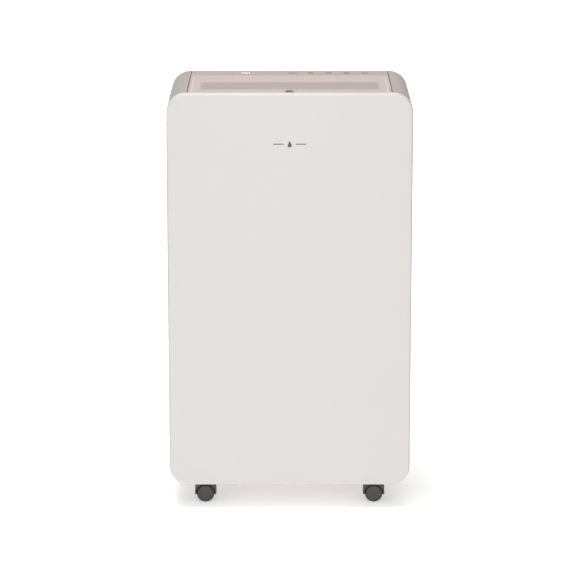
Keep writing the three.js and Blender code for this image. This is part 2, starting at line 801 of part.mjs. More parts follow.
function suctionPipe() {
  const start = accumulatorTopZ + partGap;
  const route = [
    [accumulatorX, compressorY, start],
    [accumulatorX, compressorY, start + 6 * suctionRadius],
    [(accumulatorX + pipeX) / 2, compressorY, bayTopZ],
    [pipeX - suctionRadius, compressorY / 2, trayBottomZ + trayHeight],
    [pipeX, condenserY, trayBottomZ + 4 * trayHeight],
    [pipeX, evaporatorY, coilMiddleZ - 6 * suctionRadius],
    [pipeX - suctionRadius, evaporatorY, coilMiddleZ],
    [coilEndX, evaporatorY, coilMiddleZ],
  ];
  return pipe(route, suctionRadius, 22);
}

function dischargePipe() {
  const start = footZ + compressorHeight + partGap;
  const route = [
    [compressorX, compressorY, start],
    [compressorX, compressorY, start + 4 * dischargeRadius],
    [(compressorX - pipeX) / 2, compressorY, bayTopZ],
    [-pipeX + dischargeRadius, compressorY / 2, trayBottomZ + trayHeight],
    [-pipeX, condenserFrontY, trayBottomZ + 4 * trayHeight],
    [-pipeX + dischargeRadius, condenserY, coilMiddleZ],
    [-coilEndX, condenserY, coilMiddleZ],
  ];
  return pipe(route, dischargeRadius, 22);
}

function capillaryTube() {
  const z = coilMiddleZ + coilHeight / 4;
  const reach = (coilEndX + pipeX) / 2;
  const route = [
    [coilEndX, condenserY, z],
    [coilEndX + 3 * capillaryRadius, condenserY, z],
    [reach, condenserY, z + 4 * capillaryRadius],
    [pipeX, (condenserY + evaporatorY) / 2, z + 8 * capillaryRadius],
    [reach, evaporatorY, z + 4 * capillaryRadius],
    [coilEndX + 3 * capillaryRadius, evaporatorY, z],
    [coilEndX, evaporatorY, z],
  ];
  return pipe(route, capillaryRadius, 14);
}

// ---- Electrical pieces ----------------------------------------------------------------

const boxWidth = 60;
const boxDepth = 62;
const boxHeight = 90;
const boxWall = 2;
const boxX = accumulatorX + accumulatorRadius + footLug + boxWidth / 2;
const capacitorRadius = 17;
const capacitorHeight = 66;
const capacitorTab = 10;
const switchWidth = 26;
const switchDepth = 12;
const switchHeight = 14;
const switchDrop = 30; // from the top of the bay down to the switch
const leverWidth = 20;
const leverReach = 4;
const sensorWidth = 18;
const sensorHeight = 30;
const sensorHead = 12;
const sensorHeadDepth = 6;
const sensorSetback = 12;
const cardThickness = 1.6;

function powerBox() {
  const low = socketTopZ + 4 * footPlate;
  const spanY = [frameBackY + slideGap, frameBackY + slideGap + boxDepth];
  const outer = block(around(boxX, boxWidth), spanY, [low, low + boxHeight]);
  const inside = block(
    around(boxX, boxWidth - 2 * boxWall),
    [spanY[0] + boxWall, spanY[1] - boxWall],
    [low + boxWall, low + boxHeight + past],
  );
  const cardY = around((spanY[0] + spanY[1]) / 2, boxWall);
  const card = block(around(boxX, boxWidth - boxWall), cardY, [low + past, low + boxHeight - 2 * boxWall]);
  return join(cut(outer, inside), card);
}

function runCapacitor() {
  const low = socketTopZ + footPlate;
  const x = -(bayHalfWidth + bayWall);
  const tabTop = low + capacitorHeight + capacitorTab;
  const spade = block(around(x, boxWall), around(compressorY, 4 * boxWall), [low, tabTop]);
  return join(rod('z', capacitorRadius, [x, compressorY], [low, low + capacitorHeight]), spade);
}

function tankSwitch() {
  const rear = bayFrontY - bayWall - partGap;
  const front = rear - switchDepth;
  const z = bayTopZ - switchDrop;
  const body = block(around(boxX, switchWidth), [front, rear], around(z, switchHeight));
  const lever = block(around(boxX, leverWidth), [front - leverReach, front + past], around(z, boxWall));
  return join(body, lever);
}

function humiditySensor() {
  const front = bodyRearY - sensorSetback;
  const rear = front + cardThickness;
  const card = block([pipeX - sensorWidth, pipeX], [front, rear], around(gripZ, sensorHeight));
  const headX = around(pipeX - sensorWidth / 2, sensorHead);
  const head = block(headX, [rear - past, rear + sensorHeadDepth - past], around(gripZ, sensorHead));
  return join(card, head);
}

// ---- Water tank -----------------------------------------------------------------------

const tankHalf = tankWidth / 2;
const pullX = 0;
const pullZ = tankBottomZ + tankBodyHeight - pullHeight;
const bailHalf = bailSpan / 2;
const pinY = [bailPivotY, bailPivotZ];

function pullPocket(inset, span) {
  const [width, height] = [pullWidth - 2 * inset, pullHeight - 2 * inset];
  const outline = roundedOutline(width, height, height / 3);
  return slabY(outline, span, 6).translate(pullX, 0, pullZ);
}

function waterTank() {
  const bodyZ = [tankBottomZ, tankBottomZ + tankBodyHeight];
  const faceInnerY = rearY - tankFaceThickness;
  const outer = block(sym(tankHalf), [tankFrontY, rearY], bodyZ);
  const face = block(sym(tankHalf), [faceInnerY, rearY], [tankBottomZ, tankBottomZ + tankFaceHeight]);
  const inside = block(
    sym(tankHalf - tankWall),
    [tankFrontY + tankWall, faceInnerY],
    [tankBottomZ + tankWall, bodyZ[1] + past],
  );
  const pocketFront = rearY - pullDepth;
  const pocket = pullPocket(0, [pocketFront - tankWall, rearY]);
  const pin = rod('x', floatPinRadius, [floatPivotY, floatPivotZ], [floatX - floatArm, tankHalf - past], 16);
  const shell = join(cut(join(outer, face), inside), pocket, pin);
  return cut(shell, pullPocket(tankWall, [pocketFront, rearY + past]));
}

function tankLid() {
  const lidRearY = rearY - tankFaceThickness - partGap;
  const plate = block(sym(tankHalf), [tankFrontY, lidRearY], [tankLidBottomZ, tankLidTopZ]);
  const lipX = tankHalf - tankWall - partGap;
  const lipY = [tankFrontY + tankWall + partGap, lidRearY];
  const lip = cut(
    block(sym(lipX), lipY, [tankLidBottomZ - tankLidLip, tankLidBottomZ + past]),
    block(
      sym(lipX - tankLidLipWall),
      [lipY[0] + tankLidLipWall, lipY[1] - tankLidLipWall],
      [tankLidBottomZ - tankLidLip - past, tankLidBottomZ],
    ),
  );
  const inlet = block(
    around(inletX, inletWidth),
    around(dripY, inletDepth),
    [tankLidBottomZ - past, tankLidTopZ + past],
  );
  const lugs = [-1, 1].map((side) => {
    const x = around(side * (bailHalf + partGap + lugWall / 2), lugWall);
    return block(x, around(bailPivotY, lugLength), [tankLidTopZ - past, bailPivotZ + lugLength / 2]);
  });
  const pinHole = rod('x', bailPinRadius + runningGap, pinY, sym(bailHalf + 3 * lugWall));
  return cut(join(plate, lip, ...lugs), inlet, pinHole);
}

// A bail that lies forward on the lid and swings up about its two pins.
function tankHandle() {
  const z = around(bailPivotZ, bailThickness);
  const grip = block(sym(bailHalf), around(bailPivotY - bailReach + bailThickness / 2, bailThickness), z);
  const arms = [-1, 1].map((side) => {
    const x = around(side * (bailHalf - bailThickness / 2), bailThickness);
    return block(x, [bailPivotY - bailReach + past, bailPivotY], z);
  });
  const eyes = [-1, 1].map((side) => {
    const x = around(side * (bailHalf - bailThickness / 2), bailThickness);
    return rod('x', bailThickness / 2, pinY, x, 16);
  });
  const pins = [-1, 1].map((side) => {
    return rod('x', bailPinRadius, pinY, around(side * bailHalf, 2 * bailPinLength - past));
  });
  return join(grip, ...arms, ...eyes, ...pins);
}

function tankFloat() {
  const top = floatPivotZ - floatDrop;
  const near = floatPivotY + 6 * floatArm;
  const body = block(around(floatX, floatWidth), [near, near + floatLength], [top - floatHeight, top]);
  const lever = new THREE.Shape();
  lever.moveTo(floatPivotY, floatPivotZ - floatArm);
  lever.lineTo(near + floatArm, top - floatArm);
  lever.lineTo(near + 3 * floatArm, top - floatArm);
  lever.lineTo(near + 3 * floatArm, top + past);
  lever.lineTo(floatPivotY, floatPivotZ + floatArm);
  lever.closePath();
  const arm = slabX(lever, around(floatX, floatArm));
  const eye = rod('x', floatArm, [floatPivotY, floatPivotZ], around(floatX, floatArm));
  const boreSpan = around(floatX, 3 * floatArm);
  const bore = rod('x', floatPinRadius + partGap, [floatPivotY, floatPivotZ], boreSpan, 16);
  return cut(join(body, arm, eye), bore);
}

// ---- Casters --------------------------------------------------------------------------

function casterHood({ x, y, stemX }) {
  const spanY = [y - hoodHalfDepth, y + hoodHalfDepth];
  const half = hoodTopWidth / 2;
  const side = new THREE.Shape();
  side.moveTo(x - half - hoodFlare, hoodFoot);
  side.lineTo(x + half + hoodFlare, hoodFoot);
  side.lineTo(x + half, hoodTopZ);
  side.lineTo(x - half, hoodTopZ);
  side.closePath();
  const boss = rod('y', wheelRadius / 2, [x, wheelRadius], around(y, webThickness), 16);
  const stem = rod('z', stemRadius, [stemX, y], [hoodTopZ - past, groundClearance + stemLength - partGap]);
  const wells = [[spanY[0] - past, y - webThickness / 2], [y + webThickness / 2, spanY[1] + past]];
  const arches = wells.map((well) => rod('y', wheelRadius + archGap, [x, wheelRadius], well));
  const axleHole = rod('y', axleRadius + runningGap, [x, wheelRadius], around(y, 2 * webThickness));
  const footSpan = [hoodFoot - webDrop, hoodFoot + past];
  const foot = block(around(x, hoodTopWidth + hoodFlare), around(y, webThickness), footSpan);
  const body = join(cut(slabY(side, spanY), ...arches), foot, boss, stem);
  return cut(body, axleHole);
}

const axleHalf = webThickness / 2 + partGap + wheelWidth / 2;

function casterAxle({ x, y }) {
  return rod('y', axleRadius, [x, wheelRadius], [y - axleHalf, y + axleHalf]);
}

// A disc wheel with a rounded tyre edge, pressed on the axle from inside.
function casterWheel({ x, y }, side) {
  const inner = webThickness / 2 + partGap;
  const outer = inner + wheelWidth;
  const bore = axleRadius + runningGap;
  const seat = axleHalf + partGap;
  const shoulder = wheelRadius - tyreRound;
  const profile = [[bore, inner], [shoulder, inner], [wheelRadius, inner + tyreRound],
    [wheelRadius, outer - tyreRound], [shoulder, outer], [0, outer], [0, seat], [bore, seat],
    [bore, inner]];
  const sided = profile.map(([radius, along]) => [radius, y + side * along]);
  return turned('y', sided, [x, wheelRadius], 28);
}

// ---- The assembly ---------------------------------------------------------------------

add('front_panel', frontPanel(), panelWhite);
add('front_frame', frontFrame(), innerGrey);
add('right_side_shell', sideShell(), shellTaupe);
add('left_side_shell', mirrored(sideShell()), shellTaupe);
add('right_grip_cup', gripCup(), shellTaupe);
add('left_grip_cup', mirrored(gripCup()), shellTaupe);
add('rear_cover', rearCover(), shellTaupe);
add('base_pan', basePan(), innerGrey);
add('cord_gland', cordGland(), softRubber);
add('tank_bay', tankBay(), innerGrey);

add('top_frame', topFrame(), innerGrey);
add('control_strip', controlStrip(), stripTaupe);
add('display_window', displayWindow(), displayGlass);
add('control_board', controlBoard(), boardGreen);
add('top_grille', topGrille(), grilleBeige);
add('outlet_duct', outletDuct(), innerGrey);

add('intake_grille', intakeGrille(), shellTaupe);
add('air_filter', airFilter(), filterBlack);
add('drip_tray', dripTray(), innerGrey);
add('drain_spout', drainSpout(), innerGrey);
add('drain_cap', drainCap(), softRubber);
add('evaporator', coil(evaporatorFrontY), finAluminium);
add('condenser', coil(condenserFrontY), finAluminium);

add('fan_scroll', fanScroll(), innerGrey);
add('fan_motor', fanMotor(), bareSteel);
add('fan_impeller', fanImpeller(), casterGrey);

add('compressor', compressor(), compressorBlack);
feet.forEach((foot, i) => add(`compressor_grommet_${i + 1}`, grommet(foot), softRubber));
add('accumulator', accumulator(), compressorBlack);
add('suction_pipe', suctionPipe(), copper);
add('discharge_pipe', dischargePipe(), copper);
add('capillary_tube', capillaryTube(), copper);

add('power_box', powerBox(), innerGrey);
add('run_capacitor', runCapacitor(), bareSteel);
add('tank_switch', tankSwitch(), casterGrey);
add('humidity_sensor', humiditySensor(), boardGreen);

add('water_tank', waterTank(), smokedClear);
add('tank_lid', tankLid(), innerGrey);
add('tank_handle', tankHandle(), shellTaupe);
add('tank_float', tankFloat(), panelWhite);

for (const caster of casters) {
  add(`${caster.place}_hood`, casterHood(caster), casterGrey);
  add(`${caster.place}_axle`, casterAxle(caster), bareSteel);
  add(`${caster.place}_front_wheel`, casterWheel(caster, -1), wheelGrey);
  add(`${caster.place}_rear_wheel`, casterWheel(caster, 1), wheelGrey);
}

export default model;
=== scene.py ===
import json
import math

import bmesh
import bpy
from mathutils import Matrix, Vector


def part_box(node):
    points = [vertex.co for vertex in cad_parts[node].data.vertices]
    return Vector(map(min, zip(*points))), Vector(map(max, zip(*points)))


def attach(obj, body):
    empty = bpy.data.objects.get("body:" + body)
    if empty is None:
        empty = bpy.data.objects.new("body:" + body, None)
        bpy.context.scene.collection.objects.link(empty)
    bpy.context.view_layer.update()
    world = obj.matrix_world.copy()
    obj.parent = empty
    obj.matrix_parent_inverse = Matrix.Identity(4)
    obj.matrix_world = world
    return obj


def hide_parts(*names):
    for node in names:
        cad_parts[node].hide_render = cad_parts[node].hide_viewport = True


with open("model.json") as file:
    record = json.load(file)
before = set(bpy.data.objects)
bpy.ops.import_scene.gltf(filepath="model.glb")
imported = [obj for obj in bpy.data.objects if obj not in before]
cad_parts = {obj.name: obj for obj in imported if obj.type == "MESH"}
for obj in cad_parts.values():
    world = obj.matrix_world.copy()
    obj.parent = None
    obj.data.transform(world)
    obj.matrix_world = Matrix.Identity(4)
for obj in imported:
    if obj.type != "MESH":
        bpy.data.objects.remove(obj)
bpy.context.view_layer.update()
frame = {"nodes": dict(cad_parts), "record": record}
nodes = frame["nodes"]
mm = 0.001  # pieces are drawn in millimetres; the camera, lamps and floor are in metres
print("frame loaded:", len(nodes), "solid parts")


# camera, light and floor

cameraSet = {
    "place": (0.0, -3.749, 1.201),
    "pitchDown": 13.47,  # degrees
    "lens": 169.9,
    "sensorWidth": 36,
    "shiftX": -0.0082,
    "clip": (0.05, 50),
}

studio = {
    "skyStrength": 1.0,
    "skyColour": (1.0, 1.0, 1.0, 1.0),
    "floorColour": (0.92, 0.92, 0.92, 1.0),
    "floorRough": 0.85,
    "floorGlow": 0.40,
    "floorSize": 24.0,
    # name, place, aim, size, power
    "lamps": [
        ("topLamp", (-0.3, -0.5, 2.8), (0, 0, 0.55), 1.2, 28),
        ("frontLamp", (-0.5, -4.2, 1.6), (0, 0, 0.35), 1.6, 8),
        ("leftLamp", (-2.4, -1.9, 0.7), (-0.17, -0.1, 0.35), 0.8, 4),
        ("rearLamp", (-0.3, 3.4, 0.3), (0, 0.1, 0.3), 0.6, 8),
    ],
    "flagAway": 0.75,  # dark cards beside the object, which the camera does not see
    "flagFoot": 0.01,
    "flagTall": 1.5,
    "flagDeep": 1.1,
    "flagShade": (0.05, 0.048, 0.046, 1.0),
    "flagRough": 0.9,
}


def aimAt(thing, target):
    away = Vector(target) - thing.location
    thing.rotation_euler = away.to_track_quat("-Z", "Y").to_euler()


def makeCamera():
    data = bpy.data.cameras.new("mainCamera")
    data.lens = cameraSet["lens"]
    data.sensor_width = cameraSet["sensorWidth"]
    data.shift_x = cameraSet["shiftX"]
    data.clip_start, data.clip_end = cameraSet["clip"]
    camera = bpy.data.objects.new("mainCamera", data)
    camera.location = cameraSet["place"]
    camera.rotation_euler = (math.radians(90 - cameraSet["pitchDown"]), 0, 0)
    bpy.context.scene.collection.objects.link(camera)
    bpy.context.scene.camera = camera


def makeLamps():
    world = bpy.data.worlds.new("studioSky")
    world.use_nodes = True
    sky = world.node_tree.nodes["Background"]
    sky.inputs["Color"].default_value = studio["skyColour"]
    sky.inputs["Strength"].default_value = studio["skyStrength"]
    bpy.context.scene.world = world
    bpy.context.scene.view_settings.view_transform = "Standard"
    for name, place, aim, size, power in studio["lamps"]:
        data = bpy.data.lights.new(name, "AREA")
        data.shape = "DISK"
        data.size = size
        data.energy = power
        lamp = bpy.data.objects.new(name, data)
        lamp.location = place
        aimAt(lamp, aim)
        bpy.context.scene.collection.objects.link(lamp)


def standCard(name, corners, colour, roughness, glow=0.0):
    # one flat sheet of the studio
    bm = bmesh.new()
    bm.faces.new([bm.verts.new(corner) for corner in corners])
    mesh = bpy.data.meshes.new(name)
    bm.to_mesh(mesh)
    bm.free()
    paint = bpy.data.materials.new(name + "Paint")
    paint.use_nodes = True
    shader = paint.node_tree.nodes["Principled BSDF"]
    shader.inputs["Base Color"].default_value = colour
    shader.inputs["Roughness"].default_value = roughness
    shader.inputs["Emission Color"].default_value = (1, 1, 1, 1)
    shader.inputs["Emission Strength"].default_value = glow
    mesh.materials.append(paint)
    card = bpy.data.objects.new(name, mesh)
    bpy.context.scene.collection.objects.link(card)
    return card


def makeFloor():
    half = studio["floorSize"] / 2
    corners = [(-half, -half, 0), (half, -half, 0), (half, half, 0), (-half, half, 0)]
    standCard("floor", corners, studio["floorColour"], studio["floorRough"], studio["floorGlow"])


def makeFlags():
    foot, tall, deep = studio["flagFoot"], studio["flagTall"], studio["flagDeep"] / 2
    for x in (-studio["flagAway"], studio["flagAway"]):
        corners = [(x, -deep, foot), (x, deep, foot), (x, deep, tall), (x, -deep, tall)]
        flag = standCard("flag", corners, studio["flagShade"], studio["flagRough"])
        flag.visible_camera = False
        flag.visible_shadow = False


makeCamera()
makeLamps()
makeFloor()
makeFlags()
print("camera, lamps and floor are up")


# finishes: each is one shader with grain, paler sharp edges and an uneven gloss

finishes = {}


def newFinish(name):
    material = bpy.data.materials.new(name)
    material.use_nodes = True
    tree = material.node_tree
    finishes[name] = material
    return tree, tree.nodes["Principled BSDF"]


def noiseNode(tree, scale, detail=3.0, rough=0.5, stretch=None):
    where = tree.nodes.new("ShaderNodeTexCoord").outputs["Object"]
    noise = tree.nodes.new("ShaderNodeTexNoise")
    noise.inputs["Scale"].default_value = scale
    noise.inputs["Detail"].default_value = detail
    noise.inputs["Roughness"].default_value = rough
    if stretch:
        mapping = tree.nodes.new("ShaderNodeMapping")
        mapping.inputs["Scale"].default_value = stretch
        tree.links.new(where, mapping.inputs["Vector"])
        where = mapping.outputs["Vector"]
    tree.links.new(where, noise.inputs["Vector"])
    return noise.outputs["Fac"]


def ranged(tree, source, low, high, fromLow=0.3, fromHigh=0.7):
    node = tree.nodes.new("ShaderNodeMapRange")
    node.inputs["From Min"].default_value = fromLow
    node.inputs["From Max"].default_value = fromHigh
    node.inputs["To Min"].default_value = low
    node.inputs["To Max"].default_value = high
    tree.links.new(source, node.inputs["Value"])
    return node.outputs["Result"]


def tint(tree, factor, first, second):
    # a mix of two colours; the first may also be another node's output
    node = tree.nodes.new("ShaderNodeMix")
    node.data_type = "RGBA"
    if isinstance(first, tuple):
        node.inputs["A"].default_value = (*first, 1)
    else:
        tree.links.new(first, node.inputs["A"])
    node.inputs["B"].default_value = (*second, 1)
    tree.links.new(factor, node.inputs["Factor"])
    return node.outputs["Result"]


def shade(colour, factor):
    return tuple(min(1.0, c * factor) for c in colour)


def unevenGloss(tree, shader, cloudy, roughness, smoother, rougher):
    low, high = max(0.02, roughness - smoother), min(1, roughness + rougher)
    tree.links.new(ranged(tree, cloudy, low, high), shader.inputs["Roughness"])


def mouldedFinish(name, colour, roughness, grain=900, grainDepth=0.04, mottle=0.03, edgePaling=0.12,
                  coat=0.0, metallic=0.0, stretch=None, gloss=0.5):
    tree, shader = newFinish(name)
    broad = ranged(tree, noiseNode(tree, 9, 4), 0, 1)
    base = tint(tree, broad, shade(colour, 1 - mottle), shade(colour, 1 + mottle))
    if edgePaling:
        # sharp outer edges (high Pointiness) are made a little paler
        shape = tree.nodes.new("ShaderNodeNewGeometry").outputs["Pointiness"]
        base = tint(tree, ranged(tree, shape, 0, edgePaling, 0.52, 0.62), base, shade(colour, 1.35))
    tree.links.new(base, shader.inputs["Base Color"])
    unevenGloss(tree, shader, noiseNode(tree, 28, 5, 0.6, stretch), roughness, 0.05, 0.06)
    bump = tree.nodes.new("ShaderNodeBump")
    bump.inputs["Strength"].default_value = 0.35
    bump.inputs["Distance"].default_value = grainDepth * mm
    tree.links.new(noiseNode(tree, grain, 2, 0.5, stretch), bump.inputs["Height"])
    tree.links.new(bump.outputs["Normal"], shader.inputs["Normal"])
    shader.inputs["Metallic"].default_value = metallic
    shader.inputs["Specular IOR Level"].default_value = gloss
    if coat:
        shader.inputs["Coat Weight"].default_value = coat
        shader.inputs["Coat Roughness"].default_value = 0.12


def clearFinish(name, colour, roughness, passing):
    tree, shader = newFinish(name)
    unevenGloss(tree, shader, noiseNode(tree, 30, 4), roughness, 0.03, 0.05)
    streak = ranged(tree, noiseNode(tree, 6, 3), 0, 1)
    tree.links.new(tint(tree, streak, shade(colour, 0.94), shade(colour, 1.05)), shader.inputs["Base Color"])
    shader.inputs["Transmission Weight"].default_value = passing
    shader.inputs["IOR"].default_value = 1.49


def lampFinish(name, colour, glow, low, high):
    tree, shader = newFinish(name)
    flicker = noiseNode(tree, 400, 2)
    tree.links.new(ranged(tree, flicker, low, high), shader.inputs["Emission Strength"])
    shader.inputs["Base Color"].default_value = (*colour, 1)
    shader.inputs["Emission Color"].default_value = (*glow, 1)
    shader.inputs["Roughness"].default_value = 0.4


mouldedFinish("panelWhite", (0.610, 0.583, 0.565), 0.42, mottle=0.006, edgePaling=0.0)
for name, slot, colour, roughness, mottle, edgePaling, gloss in (
    ("shellTaupe", "shell_taupe", (0.355, 0.316, 0.294), 0.45, 0.012, 0.05, 0.15),
    ("stripTaupe", "strip_taupe", (0.368, 0.318, 0.292), 0.42, 0.010, 0.03, 0.10),
    # this beige and the darker one below are one material (slot grille_beige) in lit and shaded copies,
    # painted light and shade: the lighter on the drilled mesh, the darker on the lid frame
    ("grilleBeige", "grille_beige", (0.605, 0.515, 0.468), 0.6, 0.012, 0.04, 0.15),
    ("lidBeige", "grille_beige", (0.450, 0.383, 0.349), 0.6, 0.012, 0.04, 0.15),
    # this darker copy of the grille beige is painted shade on the screen over the dark duct mouth, and the
    # lamp dots' own colour
    ("dotTaupeAndScreenShade", "grille_beige", (0.460, 0.400, 0.366), 0.6, 0.012, 0.04, 0.15),
):
    mouldedFinish(name, colour, roughness, mottle=mottle, edgePaling=edgePaling, gloss=gloss)
for name, slot, colour, roughness, grain, mottle in (
    ("innerGrey", "inner_grey", (0.456, 0.402, 0.371), 0.6, 600, 0.04),
    ("casterGrey", "caster_grey", (0.048, 0.048, 0.048), 0.45, 1200, 0.08),
    ("wheelGrey", "wheel_grey", (0.055, 0.055, 0.055), 0.5, 1400, 0.06),
    ("tyreGrey", "wheel_grey", (0.038, 0.038, 0.038), 0.62, 1800, 0.12),
    ("rubberBlack", "soft_rubber", (0.020, 0.020, 0.020), 0.7, 1500, 0.15),
    ("filterBlack", "filter_black", (0.042, 0.042, 0.045), 0.75, 1600, 0.1),
):
    mouldedFinish(name, colour, roughness, grain, mottle=mottle)
mouldedFinish("markBrown", (0.115, 0.082, 0.066), 0.4, mottle=0.05, edgePaling=0.0)
mouldedFinish("keyInk", (0.060, 0.046, 0.040), 0.4, mottle=0.05, edgePaling=0.0)
mouldedFinish("floatWhite", (0.76, 0.73, 0.70), 0.75, 500, 0.1)
mouldedFinish("boardGreen", (0.022, 0.105, 0.045), 0.35, 400, mottle=0.2, coat=0.3)
mouldedFinish("compressorBlack", (0.014, 0.014, 0.015), 0.3, 250, 0.15, 0.2, coat=0.35)
mouldedFinish("steel", (0.50, 0.50, 0.51), 0.28, 500, mottle=0.05, metallic=1.0,
              stretch=(1, 1, 30))
mouldedFinish("copper", (0.63, 0.27, 0.14), 0.3, 300, mottle=0.12, metallic=1.0)
mouldedFinish("finAluminium", (0.66, 0.67, 0.69), 0.34, 700, mottle=0.04, metallic=1.0)
clearFinish("tankSmoke", (0.62, 0.63, 0.62), 0.18, 0.55)
lampFinish("displayLight", (0.95, 0.95, 0.93), (1.0, 0.99, 0.97), 0.30, 0.42)
print("finishes mixed:", len(finishes))


# making and finishing meshes

past = 1  # a cutter reaches this far past what it cuts
bodyOf = {node: body for body, held in frame["record"]["behaviour"]["bodies"].items() for node in held}


def boxOf(node):
    low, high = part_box(node)
    return low / mm, high / mm


def spotOf(node, plane):
    # a part's box, with its middle and half width as that plane shows them
    low, high = boxOf(node)
    x, y, z = ((a + b) / 2 for a, b in zip(low, high))
    return low, high, {"front": (x, z), "top": (x, y), "side": (y, z)}[plane], (high.x - low.x) / 2


def meshOf(name, bm, unit=mm):
    mesh = bpy.data.meshes.new(name)
    bmesh.ops.recalc_face_normals(bm, faces=bm.faces)
    bm.transform(Matrix.Scale(unit, 4))
    bm.to_mesh(mesh)
    bm.free()
    return mesh


def addPiece(name, bm, body, finish, stands=(), unit=mm):
    piece = bpy.data.objects.new(name, meshOf(name, bm, unit))
    bpy.context.scene.collection.objects.link(piece)
    piece.data.materials.append(finishes[finish])
    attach(piece, body)
    if stands:
        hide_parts(*stands)
    return piece


def settle(piece):
    # the modifiers so far become the mesh itself
    bpy.context.view_layer.update()
    evaluated = piece.evaluated_get(bpy.context.evaluated_depsgraph_get())
    made = bpy.data.meshes.new_from_object(evaluated)
    piece.modifiers.clear()
    old = piece.data
    piece.data = made
    bpy.data.meshes.remove(old)
    made.name = piece.name


def smoothed(piece, sharpAngle=32):
    # smooth faces, kept crisp where two faces meet at more than this angle
    bm = bmesh.new()
    bm.from_mesh(piece.data)
    limit = math.radians(sharpAngle)
    for face in bm.faces:
        face.smooth = True
    for edge in bm.edges:
        edge.smooth = len(edge.link_faces) == 2 and edge.calc_face_angle(0) < limit
    bm.to_mesh(piece.data)
    bm.free()
    weighted = piece.modifiers.new("facing", "WEIGHTED_NORMAL")
    weighted.keep_sharp = True
    return piece


def softPiece(name, bm, body, finish, stands=(), sharpAngle=32):
    return smoothed(addPiece(name, bm, body, finish, stands), sharpAngle)


def eased(piece, width, steps=2, angle=40):
    # a small round on every crisp edge
    bevel = piece.modifiers.new("ease", "BEVEL")
    bevel.width = width * mm
    bevel.segments = steps
    bevel.limit_method = "ANGLE"
    bevel.angle_limit = math.radians(angle)
    bevel.use_clamp_overlap = True
    settle(piece)
    return smoothed(piece)


def carved(piece, *cutters):
    # cuts other closed meshes out of a piece
    for bm in cutters:
        mesh = meshOf("cutter", bm)
        tool = bpy.data.objects.new("cutter", mesh)
        bpy.context.scene.collection.objects.link(tool)
        cut = piece.modifiers.new("cut", "BOOLEAN")
        cut.operation = "DIFFERENCE"
        cut.solver = "EXACT"
        cut.object = tool
        settle(piece)
        bpy.data.objects.remove(tool)
        bpy.data.meshes.remove(mesh)
    return piece


def arc(x, y, radius, start, end, steps=14, squash=1.0):
    # points of an arc between two angles in degrees
    turns = [math.radians(start + (end - start) * i / steps) for i in range(steps + 1)]
    return [(x + radius * math.cos(turn), y + squash * radius * math.sin(turn)) for turn in turns]


def circle(radius, steps=32, centre=(0, 0)):
    return arc(*centre, radius, 0, 360, steps)[:-1]


def rounded(width, height, radius, steps=10, centre=(0, 0)):
    # a rounded rectangle, anticlockwise
    w, h = width / 2 - radius, height / 2 - radius
    points = []
    for i, (sideX, sideY) in enumerate(((1, 1), (-1, 1), (-1, -1), (1, -1))):
        points += arc(centre[0] + sideX * w, centre[1] + sideY * h, radius, 90 * i, 90 * (i + 1), steps)
    return points


# how a flat outline (a, b) with a depth d lies in space
planes = {
    "front": lambda a, b, d: (a, d, b),
    "top": lambda a, b, d: (a, b, d),
    "side": lambda a, b, d: (d, a, b),
}


def addRings(bm, rings, plane, capped=True):
    # rings are (outline, depth) pairs of equal length, skinned one to the next
    place = planes[plane]
    made = [[bm.verts.new(place(a, b, depth)) for a, b in outline] for outline, depth in rings]
    count = len(made[0])
    for first, second in zip(made, made[1:]):
        for i in range(count):
            j = (i + 1) % count
            bm.faces.new((first[i], first[j], second[j], second[i]))
    if capped:
        bm.faces.new(list(reversed(made[0])))
        bm.faces.new(made[-1])


def prism(outline, plane, low, high, bm=None):
    bm = bm or bmesh.new()
    addRings(bm, [(outline, low), (outline, high)], plane)
    return bm


def bar(xs, ys, zs, bm=None):
    outline = [(xs[0], ys[0]), (xs[1], ys[0]), (xs[1], ys[1]), (xs[0], ys[1])]
    return prism(outline, "top", zs[0], zs[1], bm)


def around(middle, half):
    return middle - half, middle + half


def insetRings(width, height, radius, profile, centre, steps):
    # a rounded rectangle followed through (inset, depth) steps
    return [(rounded(width - 2 * inset, height - 2 * inset, max(radius - inset, 0.2), steps, centre), depth)
            for inset, depth in profile]


def dish(width, height, radius, profile, plane, centre=(0, 0), steps=10):
    bm = bmesh.new()
    addRings(bm, insetRings(width, height, radius, profile, centre, steps), plane)
    return bm


def roundOver(radius, inset, depth, toDepth=1, steps=6):
    # (inset, depth) steps of a quarter round that starts on the side wall and ends on the face
    return [(inset + radius - a, depth + toDepth * b) for a, b in arc(0, 0, radius, 0, 90, steps)]


def roundRim(rim, radius, depth, toDepth=1, steps=6):
    # the same for a turned piece, as (radius, depth) steps in from its rim
    return [(rim - inset, d) for inset, d in roundOver(radius, 0, depth, toDepth, steps)]


def turned(profile, plane, centre, steps=48, bm=None):
    # a turned piece: (radius, depth) steps; a radius of 0 closes on the axis
    bm = bm or bmesh.new()
    place = planes[plane]
    rings = []
    for radius, depth in profile:
        points = circle(radius, steps, centre) if radius else [centre]
        rings.append([bm.verts.new(place(a, b, depth)) for a, b in points])
    if profile[0] == profile[-1]:
        for vert in rings[-1]:
            bm.verts.remove(vert)
        rings[-1] = rings[0]
    for first, second in zip(rings, rings[1:]):
        for i in range(steps):
            j = (i + 1) % steps
            corners = [first[i % len(first)], first[j % len(first)]]
            corners += [second[j % len(second)], second[i % len(second)]]
            corners = list(dict.fromkeys(corners))
            if len(corners) > 2:
                bm.faces.new(corners)
    return bm


